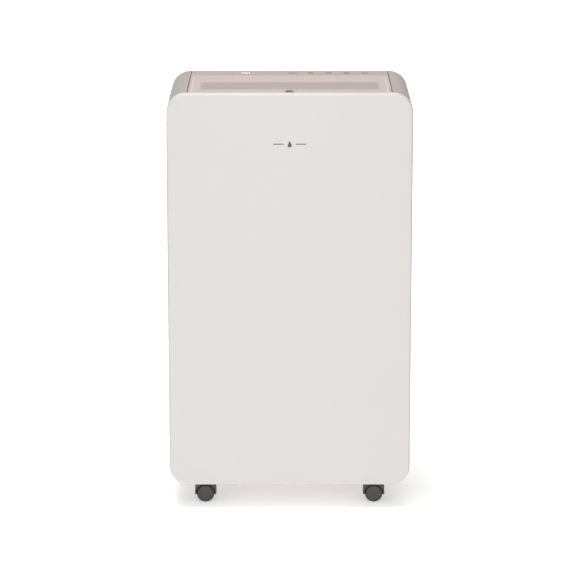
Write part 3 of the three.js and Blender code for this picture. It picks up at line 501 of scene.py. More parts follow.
def pipeMesh(route, radius, steps=14, detail=10):
    # a round pipe along smooth points
    curve = bpy.data.curves.new("route", "CURVE")
    curve.dimensions = "3D"
    curve.bevel_depth = radius
    curve.bevel_resolution = steps // 2
    curve.use_fill_caps = True
    curve.resolution_u = detail
    spline = curve.splines.new("BEZIER")
    spline.bezier_points.add(len(route) - 1)
    for point, place in zip(spline.bezier_points, route):
        point.co = place
        point.handle_left_type = point.handle_right_type = "AUTO"
    holder = bpy.data.objects.new("route", curve)
    bpy.context.scene.collection.objects.link(holder)
    bpy.context.view_layer.update()
    mesh = bpy.data.meshes.new_from_object(holder.evaluated_get(bpy.context.evaluated_depsgraph_get()))
    bm = bmesh.new()
    bm.from_mesh(mesh)
    bmesh.ops.remove_doubles(bm, verts=bm.verts, dist=0.001)
    bpy.data.objects.remove(holder)
    bpy.data.curves.remove(curve)
    bpy.data.meshes.remove(mesh)
    return bm


def refined(node, finish, edge):
    # a solid part taken over as it is, with clean faces, eased edges and a real finish
    bm = bmesh.new()
    bm.from_mesh(nodes[node].data)
    bm.transform(nodes[node].matrix_world)
    bmesh.ops.remove_doubles(bm, verts=bm.verts, dist=0.002 * mm)
    bmesh.ops.dissolve_limit(bm, angle_limit=math.radians(1.0), verts=bm.verts, edges=bm.edges)
    eased(addPiece(node + "_part", bm, bodyOf[node], finish, [node], unit=1), edge)


print("mesh tools ready")


# the case: front panel, side shells with their grips, rear cover

caseSet = {
    "corner": 27,
    "panelWall": 3,
    "panelRound": 3,
    "panelEase": 0.4,
    "shellWall": 3,
    "seamEase": 0.5,
    "rearRound": 2.6,
    "holeCorner": 6,
    "gap": 0.3,
    "gripFloorRound": 4,
    "gripWall": 2,
    "gripLip": 0.5,
    "bayWall": 2,
    "screwAt": ((-150, 560), (150, 560), (-150, 330), (150, 330), (-146, 140), (146, 140)),
    "screwRadius": 3.6,
    "screwCross": (2.0, 0.45),
    "markWidth": 15,
    "markHeight": 1.3,
    "markAway": 15.5,
    "markProud": 0.02,
    "dropHeight": 9.5,
    "dropBelly": 0.31,  # of its height
    "markDrop": 70,  # from the panel's top edge down to the middle of the mark
}

panelLow, panelHigh, caseMiddle, caseHalf = spotOf("front_panel", "front")
caseMiddle = (0, caseMiddle[1])
caseWidth, caseHeight = 2 * caseHalf, panelHigh.z - panelLow.z
shellLow, shellHigh = boxOf("right_side_shell")
coverLow, coverHigh = boxOf("rear_cover")


def makeFrontPanel():
    wall, curve, ease = caseSet["panelWall"], caseSet["panelRound"], caseSet["panelEase"]
    front, back = panelLow.y, panelHigh.y
    steps = [(wall, front + wall), (wall, back - ease), (wall - ease, back), (ease, back), (0, back - ease)]
    steps += roundOver(curve, 0, front + curve, -1, 10) + [(curve + 0.6, front)]
    bm = dish(caseWidth, caseHeight, caseSet["corner"], steps, "front", caseMiddle, 20)
    softPiece("front_panel_skin", bm, "case", "panelWhite", ["front_panel"])


def makePanelMark():
    # a plain printed drop between two dashes
    z = panelHigh.z - caseSet["markDrop"]
    ink = (panelLow.y - caseSet["markProud"], panelLow.y + 0.1)
    width, height, away = caseSet["markWidth"], caseSet["markHeight"], caseSet["markAway"]
    bm = bmesh.new()
    for x in (-away, away):
        prism(rounded(width, height, height / 2 - 0.05, 6, (x, z)), "front", *ink, bm)
    tall = caseSet["dropHeight"]
    belly = tall * caseSet["dropBelly"]
    outline = arc(0, z - tall / 2 + belly, belly, -215, 35, 32) + [(0, z + tall / 2)]
    prism(outline, "front", *ink, bm)
    addPiece("panel_mark", bm, "case", "markBrown")


def shellOutline(side):
    corner, wall = caseSet["corner"], caseSet["shellWall"]
    middle, half = caseMiddle[1], caseHeight / 2
    loops = []
    for inset in (0, wall):
        x, radius = caseHalf - corner, corner - inset
        loop = [(shellLow.x, middle + half - inset)]
        loop += arc(x, middle + half - corner, radius, 90, 0, 20)
        loop += arc(x, middle - half + corner, radius, 0, -90, 20)
        loops.append(loop + [(shellLow.x, middle - half + inset)])
    return [(side * x, z) for x, z in loops[0] + loops[1][::-1]]


def makeSideShell(side, name):
    gap, wall, lip = caseSet["gap"], caseSet["gripWall"], caseSet["gripLip"]
    cupLow, cupHigh, centre, _ = spotOf(name + "_grip_cup", "side")
    width, height = cupHigh.y - cupLow.y, cupHigh.z - cupLow.z
    bm = prism(shellOutline(side), "front", shellLow.y, shellHigh.y)
    shell = addPiece(name + "_side_shell_skin", bm, "case", "shellTaupe", [name + "_side_shell"])
    hole = rounded(width + 2 * gap, height + 2 * gap, height / 2, 16, centre)
    carved(shell, prism(hole, "side", side * (caseHalf - 8), side * (caseHalf + 5)))
    eased(shell, caseSet["seamEase"], 3)

    back = side * (caseHalf - (cupHigh.x - cupLow.x) - gap)
    face = side * (caseHalf - gap)
    curve = caseSet["gripFloorRound"]
    floor = back + side * (wall + curve)
    steps = [(1.2, back), (0, back + side * 1.2), (0, face - side * lip), (lip, face), (wall - lip, face),
             (wall, face - side * lip)] + roundOver(curve, wall, floor, -side)
    cup = dish(width, height, height / 2 - gap, steps, "side", centre, 16)
    softPiece(name + "_grip_lining", cup, "case", "shellTaupe", [name + "_grip_cup"])


def makeRearCover():
    curve, gap, corner = caseSet["rearRound"], caseSet["gap"], caseSet["holeCorner"]
    front, back = coverLow.y, coverHigh.y
    steps = [(gap, front), (0, front + gap)] + roundOver(curve, 0, back - curve, 1, 8)
    steps += [(curve + 0.6, back)]
    bm = dish(caseWidth, caseHeight, caseSet["corner"], steps, "front", caseMiddle, 20)
    cover = addPiece("rear_cover_skin", bm, "case", "shellTaupe", ["rear_cover"])
    through = (front - 2, back + 2)
    tool = bmesh.new()
    for node, room in (("tank_bay", -caseSet["bayWall"]), ("intake_grille", gap)):
        low, high, centre, half = spotOf(node, "front")
        outline = rounded(2 * (half + room), high.z - low.z + 2 * room, corner, 8, (0, centre[1]))
        prism(outline, "front", *through, tool)
    for node, room in (("drain_cap", 1.0), ("cord_gland", gap)):
        low, high, centre, half = spotOf(node, "front")
        prism(circle(half + room, 48, centre), "front", *through, tool)
    for place in caseSet["screwAt"]:
        prism(circle(caseSet["screwRadius"] + 0.5, 32, place), "front", back - 2.6, back + 2, tool)
    carved(cover, tool)
    eased(cover, 0.4, 2, 50)


def makeScrews():
    radius = caseSet["screwRadius"]
    seat, top = coverHigh.y - 2.7, coverHigh.y - 0.7
    steps = [(0, seat), (radius, seat), (radius, top - 0.9), (radius * 0.8, top - 0.25), (radius * 0.4, top),
             (0, top)]
    for i, (x, z) in enumerate(caseSet["screwAt"]):
        screw = addPiece(f"rear_screw_{i + 1}", turned(steps, "front", (x, z), 32), "case", "steel")
        for across, along in (caseSet["screwCross"], caseSet["screwCross"][::-1]):
            carved(screw, bar(around(x, across), (top - 1.1, top + past), around(z, along)))
        eased(screw, 0.12)


makeFrontPanel()
makePanelMark()
makeSideShell(-1, "left")
makeSideShell(1, "right")
makeRearCover()
makeScrews()
print("case made")


# the top: control strip with its display and touch marks, perforated outlet lid, frame under both

topSet = {
    "stripSink": 0.10,  # the strip lies this far under the top of the case
    "lidSink": 0.02,
    "seamInset": 0.4,  # lid and strip stay this far clear of the side shells
    "topWall": 2,
    "topCorner": 1.6,
    "edgeEase": 0.9,
    "holePitch": 3.6,
    "holeRow": 3.1,
    "rowShift": 0.382,  # each row starts this share of a pitch further along
    "holeRadius": 1.1,
    "meshThick": 0.8,
    "meshSink": 0.12,
    "meshLap": 0.3,
    "frontBand": 7,
    "sideBand": 4.5,
    "notchWidth": 12,
    "notchLength": 23,
    "notchBoss": 4.4,
    "mouthDeep": 63,
    "ductWall": 2,
    "ribPitch": 34,
    "ribTall": 3.2,
    "ribHalf": 0.8,
    "keyFirst": 4,  # the first touch mark, then one every keyPitch
    "keyPitch": 26,
    "strokeWidth": 1.45,
    "inkSpan": (-0.05, 0.03),  # from the strip's surface
    "windowGap": 0.2,
    "digitAt": (-66.4, -60.2),
    "digitSize": (4.7, 9.6),
    "digitStroke": 0.95,
    "digitEnd": 0.55,
    "digitsShown": "50",
    "smallMarkAt": -76.5,
    "lampDotsAt": (-37, -18),
}

# the seven strokes of a digit, and the strokes that each digit lights
strokeEnds = {
    "a": ((0, 1), (1, 1)), "b": ((1, 1), (1, 0.5)), "c": ((1, 0.5), (1, 0)), "d": ((0, 0), (1, 0)),
    "e": ((0, 0.5), (0, 0)), "f": ((0, 1), (0, 0.5)), "g": ((0, 0.5), (1, 0.5)),
}
strokesOf = {
    "0": "abcdef", "1": "bc", "2": "abged", "3": "abgcd", "4": "fgbc",
    "5": "afgcd", "6": "afgedc", "7": "abc", "8": "abcdefg", "9": "abcdfg",
}

stripLow, stripHigh, stripMiddle, stripHalf = spotOf("control_strip", "top")
lidLow, lidHigh, lidMiddle, lidHalf = spotOf("top_grille", "top")
stripTop = stripHigh.z - topSet["stripSink"]
inkSpan = [stripTop + d for d in topSet["inkSpan"]]


def makeStrip():
    wall, ease, gap = topSet["topWall"], topSet["edgeEase"], topSet["windowGap"]
    width, depth = 2 * (stripHalf - topSet["seamInset"]), stripHigh.y - stripLow.y
    bottom, under = stripLow.z, stripTop - wall
    steps = [(wall, under), (wall, bottom + 0.3), (wall - 0.3, bottom), (0.3, bottom), (0, bottom + 0.3)]
    steps += roundOver(ease, 0, stripTop - ease) + [(ease + 0.6, stripTop)]
    bm = dish(width, depth, topSet["topCorner"], steps, "top", (0, stripMiddle[1]), 6)
    strip = addPiece("control_strip_skin", bm, "case", "stripTaupe", ["control_strip"])
    low, high, centre, half = spotOf("display_window", "top")
    depth = high.y - low.y
    seat = [(0, low.z - gap), (0, stripTop + past)]
    carved(strip, dish(2 * (half + gap), depth + 2 * gap, 1.2, seat, "top", centre, 6))
    smoothed(strip)
    steps = [(0, low.z), (0, stripTop - 0.25), (0.25, stripTop), (0.6, stripTop)]
    window = dish(2 * half, depth, 1.0, steps, "top", centre, 6)
    softPiece("display_window_pane", window, "case", "stripTaupe", ["display_window"])
    refined("control_board", "boardGreen", 0.2)


def stroke(points, bm, width, closed=False):
    # a line of even width with round ends, a hair proud of the strip
    for (ax, ay), (bx, by) in zip(points, points[1:] + points[:1] if closed else points[1:]):
        turn = math.degrees(math.atan2(by - ay, bx - ax))
        outline = arc(bx, by, width / 2, turn - 90, turn + 90, 6)
        outline += arc(ax, ay, width / 2, turn + 90, turn + 270, 6)
        prism(outline, "top", *inkSpan, bm)


def makeTouchMarks():
    width, y = topSet["strokeWidth"], stripMiddle[1]
    drop, fan, clock, lock, power = (topSet["keyFirst"] + topSet["keyPitch"] * i for i in range(5))
    lines = [(arc(drop - 2.4, y - 1.3, 2.9, -205, 25) + [(drop - 2.4, y + 4.6)], True)]
    for up in (-2.6, 0.6):
        lines.append(([(drop + 1.9 + 0.4 * i, y + up + 0.9 * math.sin(i * 0.72)) for i in range(10)], False))
    lines.append((arc(fan, y, 0.7, 0, 330), True))
    for turn in (90, 210, 330):
        x, blade = fan + 2.5 * math.cos(math.radians(turn)), y + 2.9 * math.sin(math.radians(turn))
        lines.append((arc(x, blade, 1.35, turn - 120, turn + 150), False))
    lines += [
        (arc(clock, y, 3.7, 0, 345, 26, 1.2), True),
        ([(clock, y + 2.7), (clock, y), (clock + 1.9, y - 1.2)], False),
        (rounded(6.6, 4.8, 0.8, 2, (lock, y - 2.0)), True),
        ([(lock - 2.2, y + 0.6)] + arc(lock, y + 2.5, 2.2, 180, 0) + [(lock + 2.2, y + 0.6)], False),
        (arc(power, y - 0.4, 3.7, 120, 420, 24, 1.15), False),
        ([(power, y + 0.6), (power, y + 4.9)], False),
    ]
    bm = bmesh.new()
    for points, closed in lines:
        stroke(points, bm, width, closed)
    addPiece("touch_marks", bm, "case", "keyInk")
    bm = bmesh.new()
    for x in topSet["lampDotsAt"]:
        prism(circle(1.1, 20, (x, y)), "top", stripTop - 0.05, stripTop + 0.02, bm)
    addPiece("lamp_dots", bm, "case", "dotTaupeAndScreenShade")


def makeDigits():
    wide, tall = topSet["digitSize"]
    bm = bmesh.new()
    for digit, middle in zip(topSet["digitsShown"], topSet["digitAt"]):
        for key in strokesOf[digit]:
            a, b = (Vector((middle + (x - 0.5) * wide, stripMiddle[1] + (y - 0.5) * tall))
                    for x, y in strokeEnds[key])
            inset = (b - a).normalized() * topSet["digitEnd"]
            stroke([tuple(a + inset), tuple(b - inset)], bm, topSet["digitStroke"])
    addPiece("display_digits", bm, "case", "displayLight")
    bm = bmesh.new()
    x, y = topSet["smallMarkAt"], stripMiddle[1]
    stroke(arc(x, y - 1, 1.5, -205, 25, 10) + [(x, y + 2.6)], bm, 0.5, True)
    addPiece("display_small_mark", bm, "case", "panelWhite")


def rowBreaks(xs, row):
    # where the cells of one row meet: full cells, with a part cell at either end
    pitch, least = topSet["holePitch"], 0.05
    breaks = [xs[0]]
    x = xs[0] + pitch * ((row * topSet["rowShift"]) % 1)
    while x < xs[1]:
        if x - breaks[-1] > least:
            breaks.append(x)
        x += pitch
    if xs[1] - breaks[-1] < least:
        breaks.pop()
    return breaks + [xs[1]]


def perforated(bm, xs, ys, top, keep):
    # a thin closed plate of drilled cells in staggered rows; keep(x, y) says which cells are made
    low = top - topSet["meshThick"]
    rows = round((ys[1] - ys[0]) / topSet["holeRow"])
    tall = (ys[1] - ys[0]) / rows
    near = 0.001
    for row in range(rows):
        start = ys[0] + row * tall
        breaks = rowBreaks(xs, row)
        for left, right in zip(breaks, breaks[1:]):
            if not keep((left + right) / 2, start + tall / 2):
                continue
            beyond = [[x for x in rowBreaks(xs, other) if left + near < x < right - near]
                      for other in (row - 1, row + 1)]
            full = right - left > 0.99 * topSet["holePitch"]
            drilledCell(bm, (left, right), (start, start + tall), beyond, full, (top, low))
    bmesh.ops.remove_doubles(bm, verts=bm.verts, dist=near / 2)
    # walls where the plate ends
    middle = (top + low) / 2
    under = {(round(v.co.x, 4), round(v.co.y, 4)): v for v in bm.verts if v.co.z < middle}
    for edge in [e for e in bm.edges if len(e.link_faces) == 1 and e.verts[0].co.z > middle]:
        first, second = edge.verts
        below = [under.get((round(v.co.x, 4), round(v.co.y, 4))) for v in (second, first)]
        if all(below):
            bm.faces.new((first, second, *below))


def drilledCell(bm, xs, ys, beyond, drilled, levels):
    # beyond lists the break points of the rows before and after, so that the rows join up
    centre = ((xs[0] + xs[1]) / 2, (ys[0] + ys[1]) / 2)
    sides = [
        [(xs[1], ys[0])],
        [(xs[1], ys[1])] + [(x, ys[1]) for x in reversed(beyond[1])],
        [(xs[0], ys[1])],
        [(xs[0], ys[0])] + [(x, ys[0]) for x in beyond[0]],
    ]
    holes = []
    for z, flip in zip(levels, (1, -1)):
        made = [[bm.verts.new((x, y, z)) for x, y in side] for side in sides]
        if not drilled:
            bm.faces.new([v for side in made for v in side][::flip])
            continue
        hole = [bm.verts.new((x, y, z)) for x, y in arc(*centre, topSet["holeRadius"], -22.5, 337.5, 8)[:-1]]
        for k in range(4):
            corner = made[(k + 1) % 4][0]
            bm.faces.new((made[k] + [corner, hole[2 * k + 1], hole[2 * k]])[::flip])
            bm.faces.new((corner, hole[(2 * k + 2) % 8], hole[2 * k + 1])[::flip])
        holes.append(hole)
    if drilled:
        for k in range(8):
            m = (k + 1) % 8
            bm.faces.new((holes[1][m], holes[1][k], holes[0][k], holes[0][m]))


def makeOutletLid():
    side, front, ease = topSet["sideBand"], topSet["frontBand"], topSet["edgeEase"]
    top, bottom = lidHigh.z - topSet["lidSink"], lidLow.z
    width, depth = 2 * (lidHalf - topSet["seamInset"]), lidHigh.y - lidLow.y
    steps = [(0.3, bottom), (0, bottom + 0.3)] + roundOver(ease, 0, top - ease) + [(ease + 0.5, top)]
    bm = dish(width, depth, topSet["topCorner"], steps, "top", (0, lidMiddle[1]), 6)
    lid = addPiece("outlet_lid_frame", bm, "outlet_lid", "lidBeige", ["top_grille"])
    xs = (lidLow.x + side, lidHigh.x - side)
    ys = (lidLow.y + front, lidHigh.y - side)
    zs = (bottom - past, top + past)
    half = topSet["notchWidth"] / 2
    boss = half + topSet["notchBoss"]  # solid round the notch
    bossRear = lidLow.y + topSet["notchLength"] + topSet["notchBoss"]
    cuts = [bar(xs, (bossRear, ys[1]), zs)]
    cuts += [bar(ends, (ys[0], bossRear + 0.1), zs) for ends in ((xs[0], -boss), (boss, xs[1]))]
    notch = arc(0, lidLow.y - 0.6, half, 0, 180, 40, topSet["notchLength"] / half)[1:-1]
    notch = [(half, lidLow.y - 3)] + notch + [(-half, lidLow.y - 3)]
    carved(lid, *cuts, prism(notch, "top", *zs))
    eased(lid, 0.5, 3, 50)

    meshTop, lap, cell = top - topSet["meshSink"], topSet["meshLap"], topSet["holePitch"] / 2
    low, high = boxOf("outlet_duct")
    mouthX = high.x - topSet["ductWall"]
    mouthY = (low.y + topSet["ductWall"], low.y + topSet["mouthDeep"])

    def overMouth(x, y):
        return abs(x) < mouthX and mouthY[0] < y < mouthY[1]

    def besideMouth(x, y):
        return not overMouth(x, y) and not (abs(x) < boss - cell and y < bossRear - cell)

    # the screen is the same drilled mesh as the rest, over the duct mouth, painted darker as shade from the
    # dark duct beneath
    for name, finish, keep in (("mesh", "grilleBeige", besideMouth), ("screen", "dotTaupeAndScreenShade", overMouth)):
        bm = bmesh.new()
        perforated(bm, (xs[0] - lap, xs[1] + lap), (ys[0] - lap, ys[1] + lap), meshTop, keep)
        addPiece("outlet_lid_" + name, bm, "outlet_lid", finish)
    ribs = bmesh.new()
    meshLow = meshTop - topSet["meshThick"]
    under = (meshLow - topSet["ribTall"], meshLow + 0.05)
    count = int((xs[1] - xs[0]) / topSet["ribPitch"])
    for i in range(1, count):
        x = xs[0] + (xs[1] - xs[0]) * i / count
        bar(around(x, topSet["ribHalf"]), (bossRear, ys[1] + 1), under, ribs)
    eased(addPiece("outlet_lid_ribs", ribs, "outlet_lid", "grilleBeige"), 0.2)


makeStrip()
makeTouchMarks()
makeDigits()
makeOutletLid()
refined("top_frame", "grilleBeige", 0.4)
refined("front_frame", "innerGrey", 0.4)
refined("outlet_duct", "innerGrey", 0.4)
print("top made")


# casters: hood with its stem, two wheels on one axle

casterSet = {
    "places": ("front_left", "front_right", "rear_left", "rear_right"),
    "hoodTop": 35.5,
    "hoodTopHalf": 14.2,
    "hoodFlare": 1.2,
    "hoodFoot": 11.3,
    "hoodRound": 1.6,
    "archGap": 1.2,
    "trail": 5,
    "web": 5.6,
    "webDrop": 2.4,  # the web between the wheels reaches this far below the hood
    "stemRadius": 4,
    "discRadius": 11.2,
    "tyreRound": 1.5,
}


def makeHood(place, x, y, radius):
    hoodLow, hoodHigh = boxOf(place + "_hood")
    web, foot, top = casterSet["web"] / 2, casterSet["hoodFoot"], casterSet["hoodTop"]
    half, flare, curve = casterSet["hoodTopHalf"], casterSet["hoodFlare"], casterSet["hoodRound"]
    outline = [(x - half - flare, foot), (x + half + flare, foot)]
    outline += arc(x + half - curve, top - curve, curve, 0, 90, 6)
    outline += arc(x - half + curve, top - curve, curve, 90, 180, 6)
    hood = addPiece(place + "_hood_skin", prism(outline, "front", hoodLow.y, hoodHigh.y), place + "_swivel",
                    "casterGrey", [place + "_hood"])
    wells = bmesh.new()
    for span in ((hoodLow.y - past, y - web), (y + web, hoodHigh.y + past)):
        prism(circle(radius + casterSet["archGap"], 64, (x, radius)), "front", *span, wells)
    carved(hood, wells)
    eased(hood, 0.35, 3)
    eye = radius * 0.55
    steps = [(0, y - web), (eye, y - web), (eye, y + web), (0, y + web)]
    extra = turned(steps, "front", (x, radius), 40)
    bar(around(x, half + flare / 2), around(y, web), (foot - casterSet["webDrop"], foot + 1), extra)
    stem, tip = casterSet["stemRadius"], hoodHigh.z
    collar, groove = stem * 1.7, stem - 0.6
    steps = [(0, top - 1), (collar, top - 1), (collar, top + 0.1), (stem, top + 0.35), (stem, tip - 4.2),
             (groove, tip - 3.6), (groove, tip - 2.6), (stem, tip - 2.0), (stem, tip - 0.9),
             (stem - 0.9, tip), (0, tip)]
    turned(steps, "top", (x - math.copysign(casterSet["trail"], x), y), 40, extra)
    softPiece(place + "_stem", extra, place + "_swivel", "casterGrey")


def makeWheel(place, name, side, centre, pin):
    # side is -1 where the wheel's outer face looks forward; centre is (x, z)
    low, high = boxOf(f"{place}_{name}")
    inner, outer = (low.y, high.y)[::side]
    radius, disc, curve = centre[1], casterSet["discRadius"], casterSet["tyreRound"]
    bore, seat = pin + 0.06, 4.8
    hollow = [(bore, 0), (4.2, 0), (4.6, 0.5), (4.9, 2.6), (disc - 1.6, 2.8), (disc - 1, 0.5),
              (disc - 0.4, 0.2), (disc, 0.5)]
    rim = [(disc, 0.9), (disc - 0.5, 0.25), (disc - 1.3, 0.02), (disc * 0.5, 0), (0, 0)]
    steps = [(r, inner + side * d) for r, d in hollow] + [(r, outer - side * d) for r, d in rim]
    steps += [(0, inner + side * seat), (bore, inner + side * seat), (bore, inner)]
    softPiece(f"{place}_{name}_disc", turned(steps, "front", centre, 72), place + "_wheels", "wheelGrey",
              [f"{place}_{name}"], sharpAngle=25)
    steps = [(disc + 0.02, inner + side * 0.7)]
    steps += roundRim(radius, curve, inner + side * (0.15 + curve), -side)[::-1]
    steps += roundRim(radius, curve, outer - side * (0.35 + curve), side)
    steps += [(disc + 0.02, outer - side * 0.75), steps[0]]
    softPiece(f"{place}_{name}_tyre", turned(steps, "front", centre, 72), place + "_wheels", "tyreGrey",
              sharpAngle=25)


def makeCaster(place):
    wheelLow, wheelHigh, (x, _), _ = spotOf(place + "_front_wheel", "front")
    hoodLow, hoodHigh = boxOf(place + "_hood")
    radius = (wheelHigh.z - wheelLow.z) / 2
    makeHood(place, x, (hoodLow.y + hoodHigh.y) / 2, radius)
    low, high = boxOf(place + "_axle")
    pin, ease = (high.z - low.z) / 2, 0.3
    steps = [(0, low.y), (pin - ease, low.y), (pin, low.y + ease), (pin, high.y - ease),
             (pin - ease, high.y), (0, high.y)]
    softPiece(place + "_axle_pin", turned(steps, "front", (x, radius), 28), place + "_wheels", "steel",
              [place + "_axle"])
    for side, name in ((-1, "front_wheel"), (1, "rear_wheel")):
        makeWheel(place, name, side, (x, radius), pin)


for casterPlace in casterSet["places"]:
    makeCaster(casterPlace)
print("casters made")


# the back: pull-out intake screen with its filter, drain, cord gland

backSet = {
    "screenRim": 8,
    "screenCorner": 5.5,
    "louvrePitch": 7.2,
    "louvreDeep": 7.4,
    "louvreThick": 1.4,
    "louvreTilt": -34,  # degrees
    "postAt": (-76, -25.3, 25.3, 76),
    "filterRim": 5.5,
    "filterCorner": 4,
    "filterBars": (-38, 38),
    "filterCross": (1 / 3, 2 / 3),  # of its height
    "filterBarHalf": 1.4,
    "wirePitch": 2.6,
    "wireHalf": 0.225,
    "capBore": 4.8,
    "capRibs": 14,
    "glandBore": 4,
    "glandRings": 4,
    "glandBand": 1.8,  # from its rim to the first ring
}


def openFrame(name, node, rim, corner, body, finish, ease):
    # a flat rounded frame with one rounded opening
    low, high, centre, half = spotOf(node, "front")
    width, height = 2 * half, high.z - low.z
    bm = dish(width, height, corner, [(0, low.y), (0, high.y)], "front", centre, 8)
    piece = addPiece(name, bm, body, finish, [node])
    hole = [(0, low.y - past), (0, high.y + past)]
    carved(piece, dish(width - 2 * rim, height - 2 * rim, corner * 0.7, hole, "front", centre, 8))
    eased(piece, ease, 3)


def makeIntakeScreen():
    rim = backSet["screenRim"]
    openFrame("intake_screen_frame", "intake_grille", rim, backSet["screenCorner"], "intake_screen",
              "shellTaupe", 0.7)
    low, high = boxOf("intake_grille")
    half = high.x - rim + 0.8
    bottom, top = low.z + rim, high.z - rim
    count = int((top - bottom) / backSet["louvrePitch"])
    thick, tilt = backSet["louvreThick"], math.radians(backSet["louvreTilt"])
    blade = [(a * math.cos(tilt) - b * math.sin(tilt), a * math.sin(tilt) + b * math.cos(tilt))
             for a, b in rounded(backSet["louvreDeep"], thick, thick / 2 - 0.05, 4)]
    bm = bmesh.new()
    for i in range(count):
        y, z = (low.y + high.y) / 2, bottom + (top - bottom) * (i + 0.5) / count
        prism([(y + a, z + b) for a, b in blade], "side", -half, half, bm)
    softPiece("intake_screen_louvres", bm, "intake_screen", "shellTaupe")
    bm = bmesh.new()
    for x in backSet["postAt"]:
        prism(rounded(2.2, 4, 0.7, 3, (x, low.y + 2.6)), "top", bottom - 1, top + 1, bm)
    softPiece("intake_screen_posts", bm, "intake_screen", "shellTaupe")


def makeFilter():
    rim, wire, half = backSet["filterRim"], backSet["wireHalf"], backSet["filterBarHalf"]
    openFrame("air_filter_frame", "air_filter", rim, backSet["filterCorner"], "intake_screen",
              "filterBlack", 0.5)
    low, high = boxOf("air_filter")
    xs, ys, zs = (low.x + rim, high.x - rim), (low.y + 0.6, high.y - 0.4), (low.z + rim, high.z - rim)
    bars = bmesh.new()
    for x in backSet["filterBars"]:
        bar(around(x, half), ys, zs, bars)
    for share in backSet["filterCross"]:
        bar(xs, ys, around(low.z + (high.z - low.z) * share, half), bars)
    eased(addPiece("air_filter_bars", bars, "intake_screen", "filterBlack"), 0.3)
    y = (low.y + high.y) / 2 + 1
    wires = bmesh.new()
    across = int((xs[1] - xs[0]) / backSet["wirePitch"])
    for i in range(1, across):
        x = xs[0] + (xs[1] - xs[0]) * i / across
        bar(around(x, wire), (y - 2 * wire, y), (zs[0] - 1, zs[1] + 1), wires)
    along = int((zs[1] - zs[0]) / backSet["wirePitch"])
    for i in range(1, along):
        z = zs[0] + (zs[1] - zs[0]) * i / along
        bar((xs[0] - 1, xs[1] + 1), around(y, wire), around(z, wire), wires)
    addPiece("air_filter_mesh", wires, "intake_screen", "filterBlack")


def makeDrain():
    refined("drain_spout", "innerGrey", 0.3)
    low, high, centre, radius = spotOf("drain_cap", "front")
    bore, roof, top, wall = backSet["capBore"], high.y - 5, high.y, radius - 0.4
    dip = top - 2.6
    steps = [(bore, low.y), (wall - 0.4, low.y), (wall, low.y + 0.4), (wall, top - 0.9), (radius - 1.3, top),
             (5.0, top), (4.5, top - 0.5), (4.3, dip), (0, dip), (0, roof), (bore, roof), (bore, low.y)]
    cap = turned(steps, "front", centre, 56)
    softPiece("drain_cap_skin", cap, "drain_plug", "rubberBlack", ["drain_cap"])
    grip = bmesh.new()
    prism(rounded(9, 1.8, 0.8, 5, centre), "front", top - 2.8, top - 0.2, grip)
    for place in circle(radius - 0.6, backSet["capRibs"], centre):
        prism(circle(0.55, 8, place), "front", low.y + 1, top - 1.2, grip)
    softPiece("drain_cap_grip", grip, "drain_plug", "rubberBlack")


def makeCordGland():
    low, high, centre, radius = spotOf("cord_gland", "front")
    bore, rings, band, top = backSet["glandBore"], backSet["glandRings"], backSet["glandBand"], high.y
    face = top - 0.1
    steps = [(bore, low.y), (radius - 0.5, low.y), (radius, low.y + 0.5), (radius, top - 1.6),
             (radius - 0.6, top - 0.5), (radius - 1.6, face)]
    step = (radius - band - bore - 0.5) / rings
    for i in range(rings):
        outer = radius - band - step * i
        steps += [(outer, face), (outer - step * 0.3, top - 0.7), (outer - step * 0.6, top - 0.7),
                  (outer - step * 0.9, face)]
    steps += [(bore + 0.3, face), (bore, top - 0.5), (bore, low.y)]
    softPiece("cord_gland_skin", turned(steps, "front", centre, 56), "case", "rubberBlack", ["cord_gland"])


makeIntakeScreen()
makeFilter()
makeDrain()
makeCordGland()
print("back made")


# water tank: clear body, face with its pull and level window, lid, bail, float; the bay it slides into

tankSet = {
    "bodyTall": 140,
    "wall": 2.5,
    "rearWall": 1.4,  # behind the float, which swings up close to it
    "corner": 12,
    "floorRound": 5,
    "footRound": 6,
    "rimEase": 0.6,
    "faceThick": 3,
    "faceCorner": 5.2,
    "pull": (96, 28, 14),  # width, height, depth
    "pullDrop": 28,  # from the top of the body down to the middle of the pull
    "windowAt": -92,
    "window": (10, 104),
    "tickPitch": 16,
    "tickHalf": (3.2, 2.0),  # long and short ones by turns
    "lidGap": 0.3,
    "lidThick": 3,
    "lipTall": 4,
    "inlet": (70, 40),
    "inletX": -20,
    "inletCorner": 6,
    "lugX": 72.3,
    "lugHalf": 2,
    "lugRadius": 5,
    "floatPin": 1.5,
    "floatArm": 4,
    "bailX": 67,
    "bailRadius": 2.6,
    "bailBend": 9,
    "sleeveHalf": 36,
    "sleeveRadius": 3,
    "sleeveGrooves": 8,
    "pinRadius": 1.8,
}

tankLow, tankHigh = boxOf("water_tank")
lidBoxLow, lidBoxHigh = boxOf("tank_lid")
bailLow, bailHigh = boxOf("tank_handle")
bodyTop = tankLow.z + tankSet["bodyTall"]
faceInner = tankHigh.y - tankSet["faceThick"]
pullAt = (0, bodyTop - tankSet["pullDrop"])
faceSpan = [(0, faceInner - past), (0, tankHigh.y + past)]  # a cutter's way through the face
bailPivot = (bailHigh.y - tankSet["sleeveRadius"], (bailLow.z + bailHigh.z) / 2)


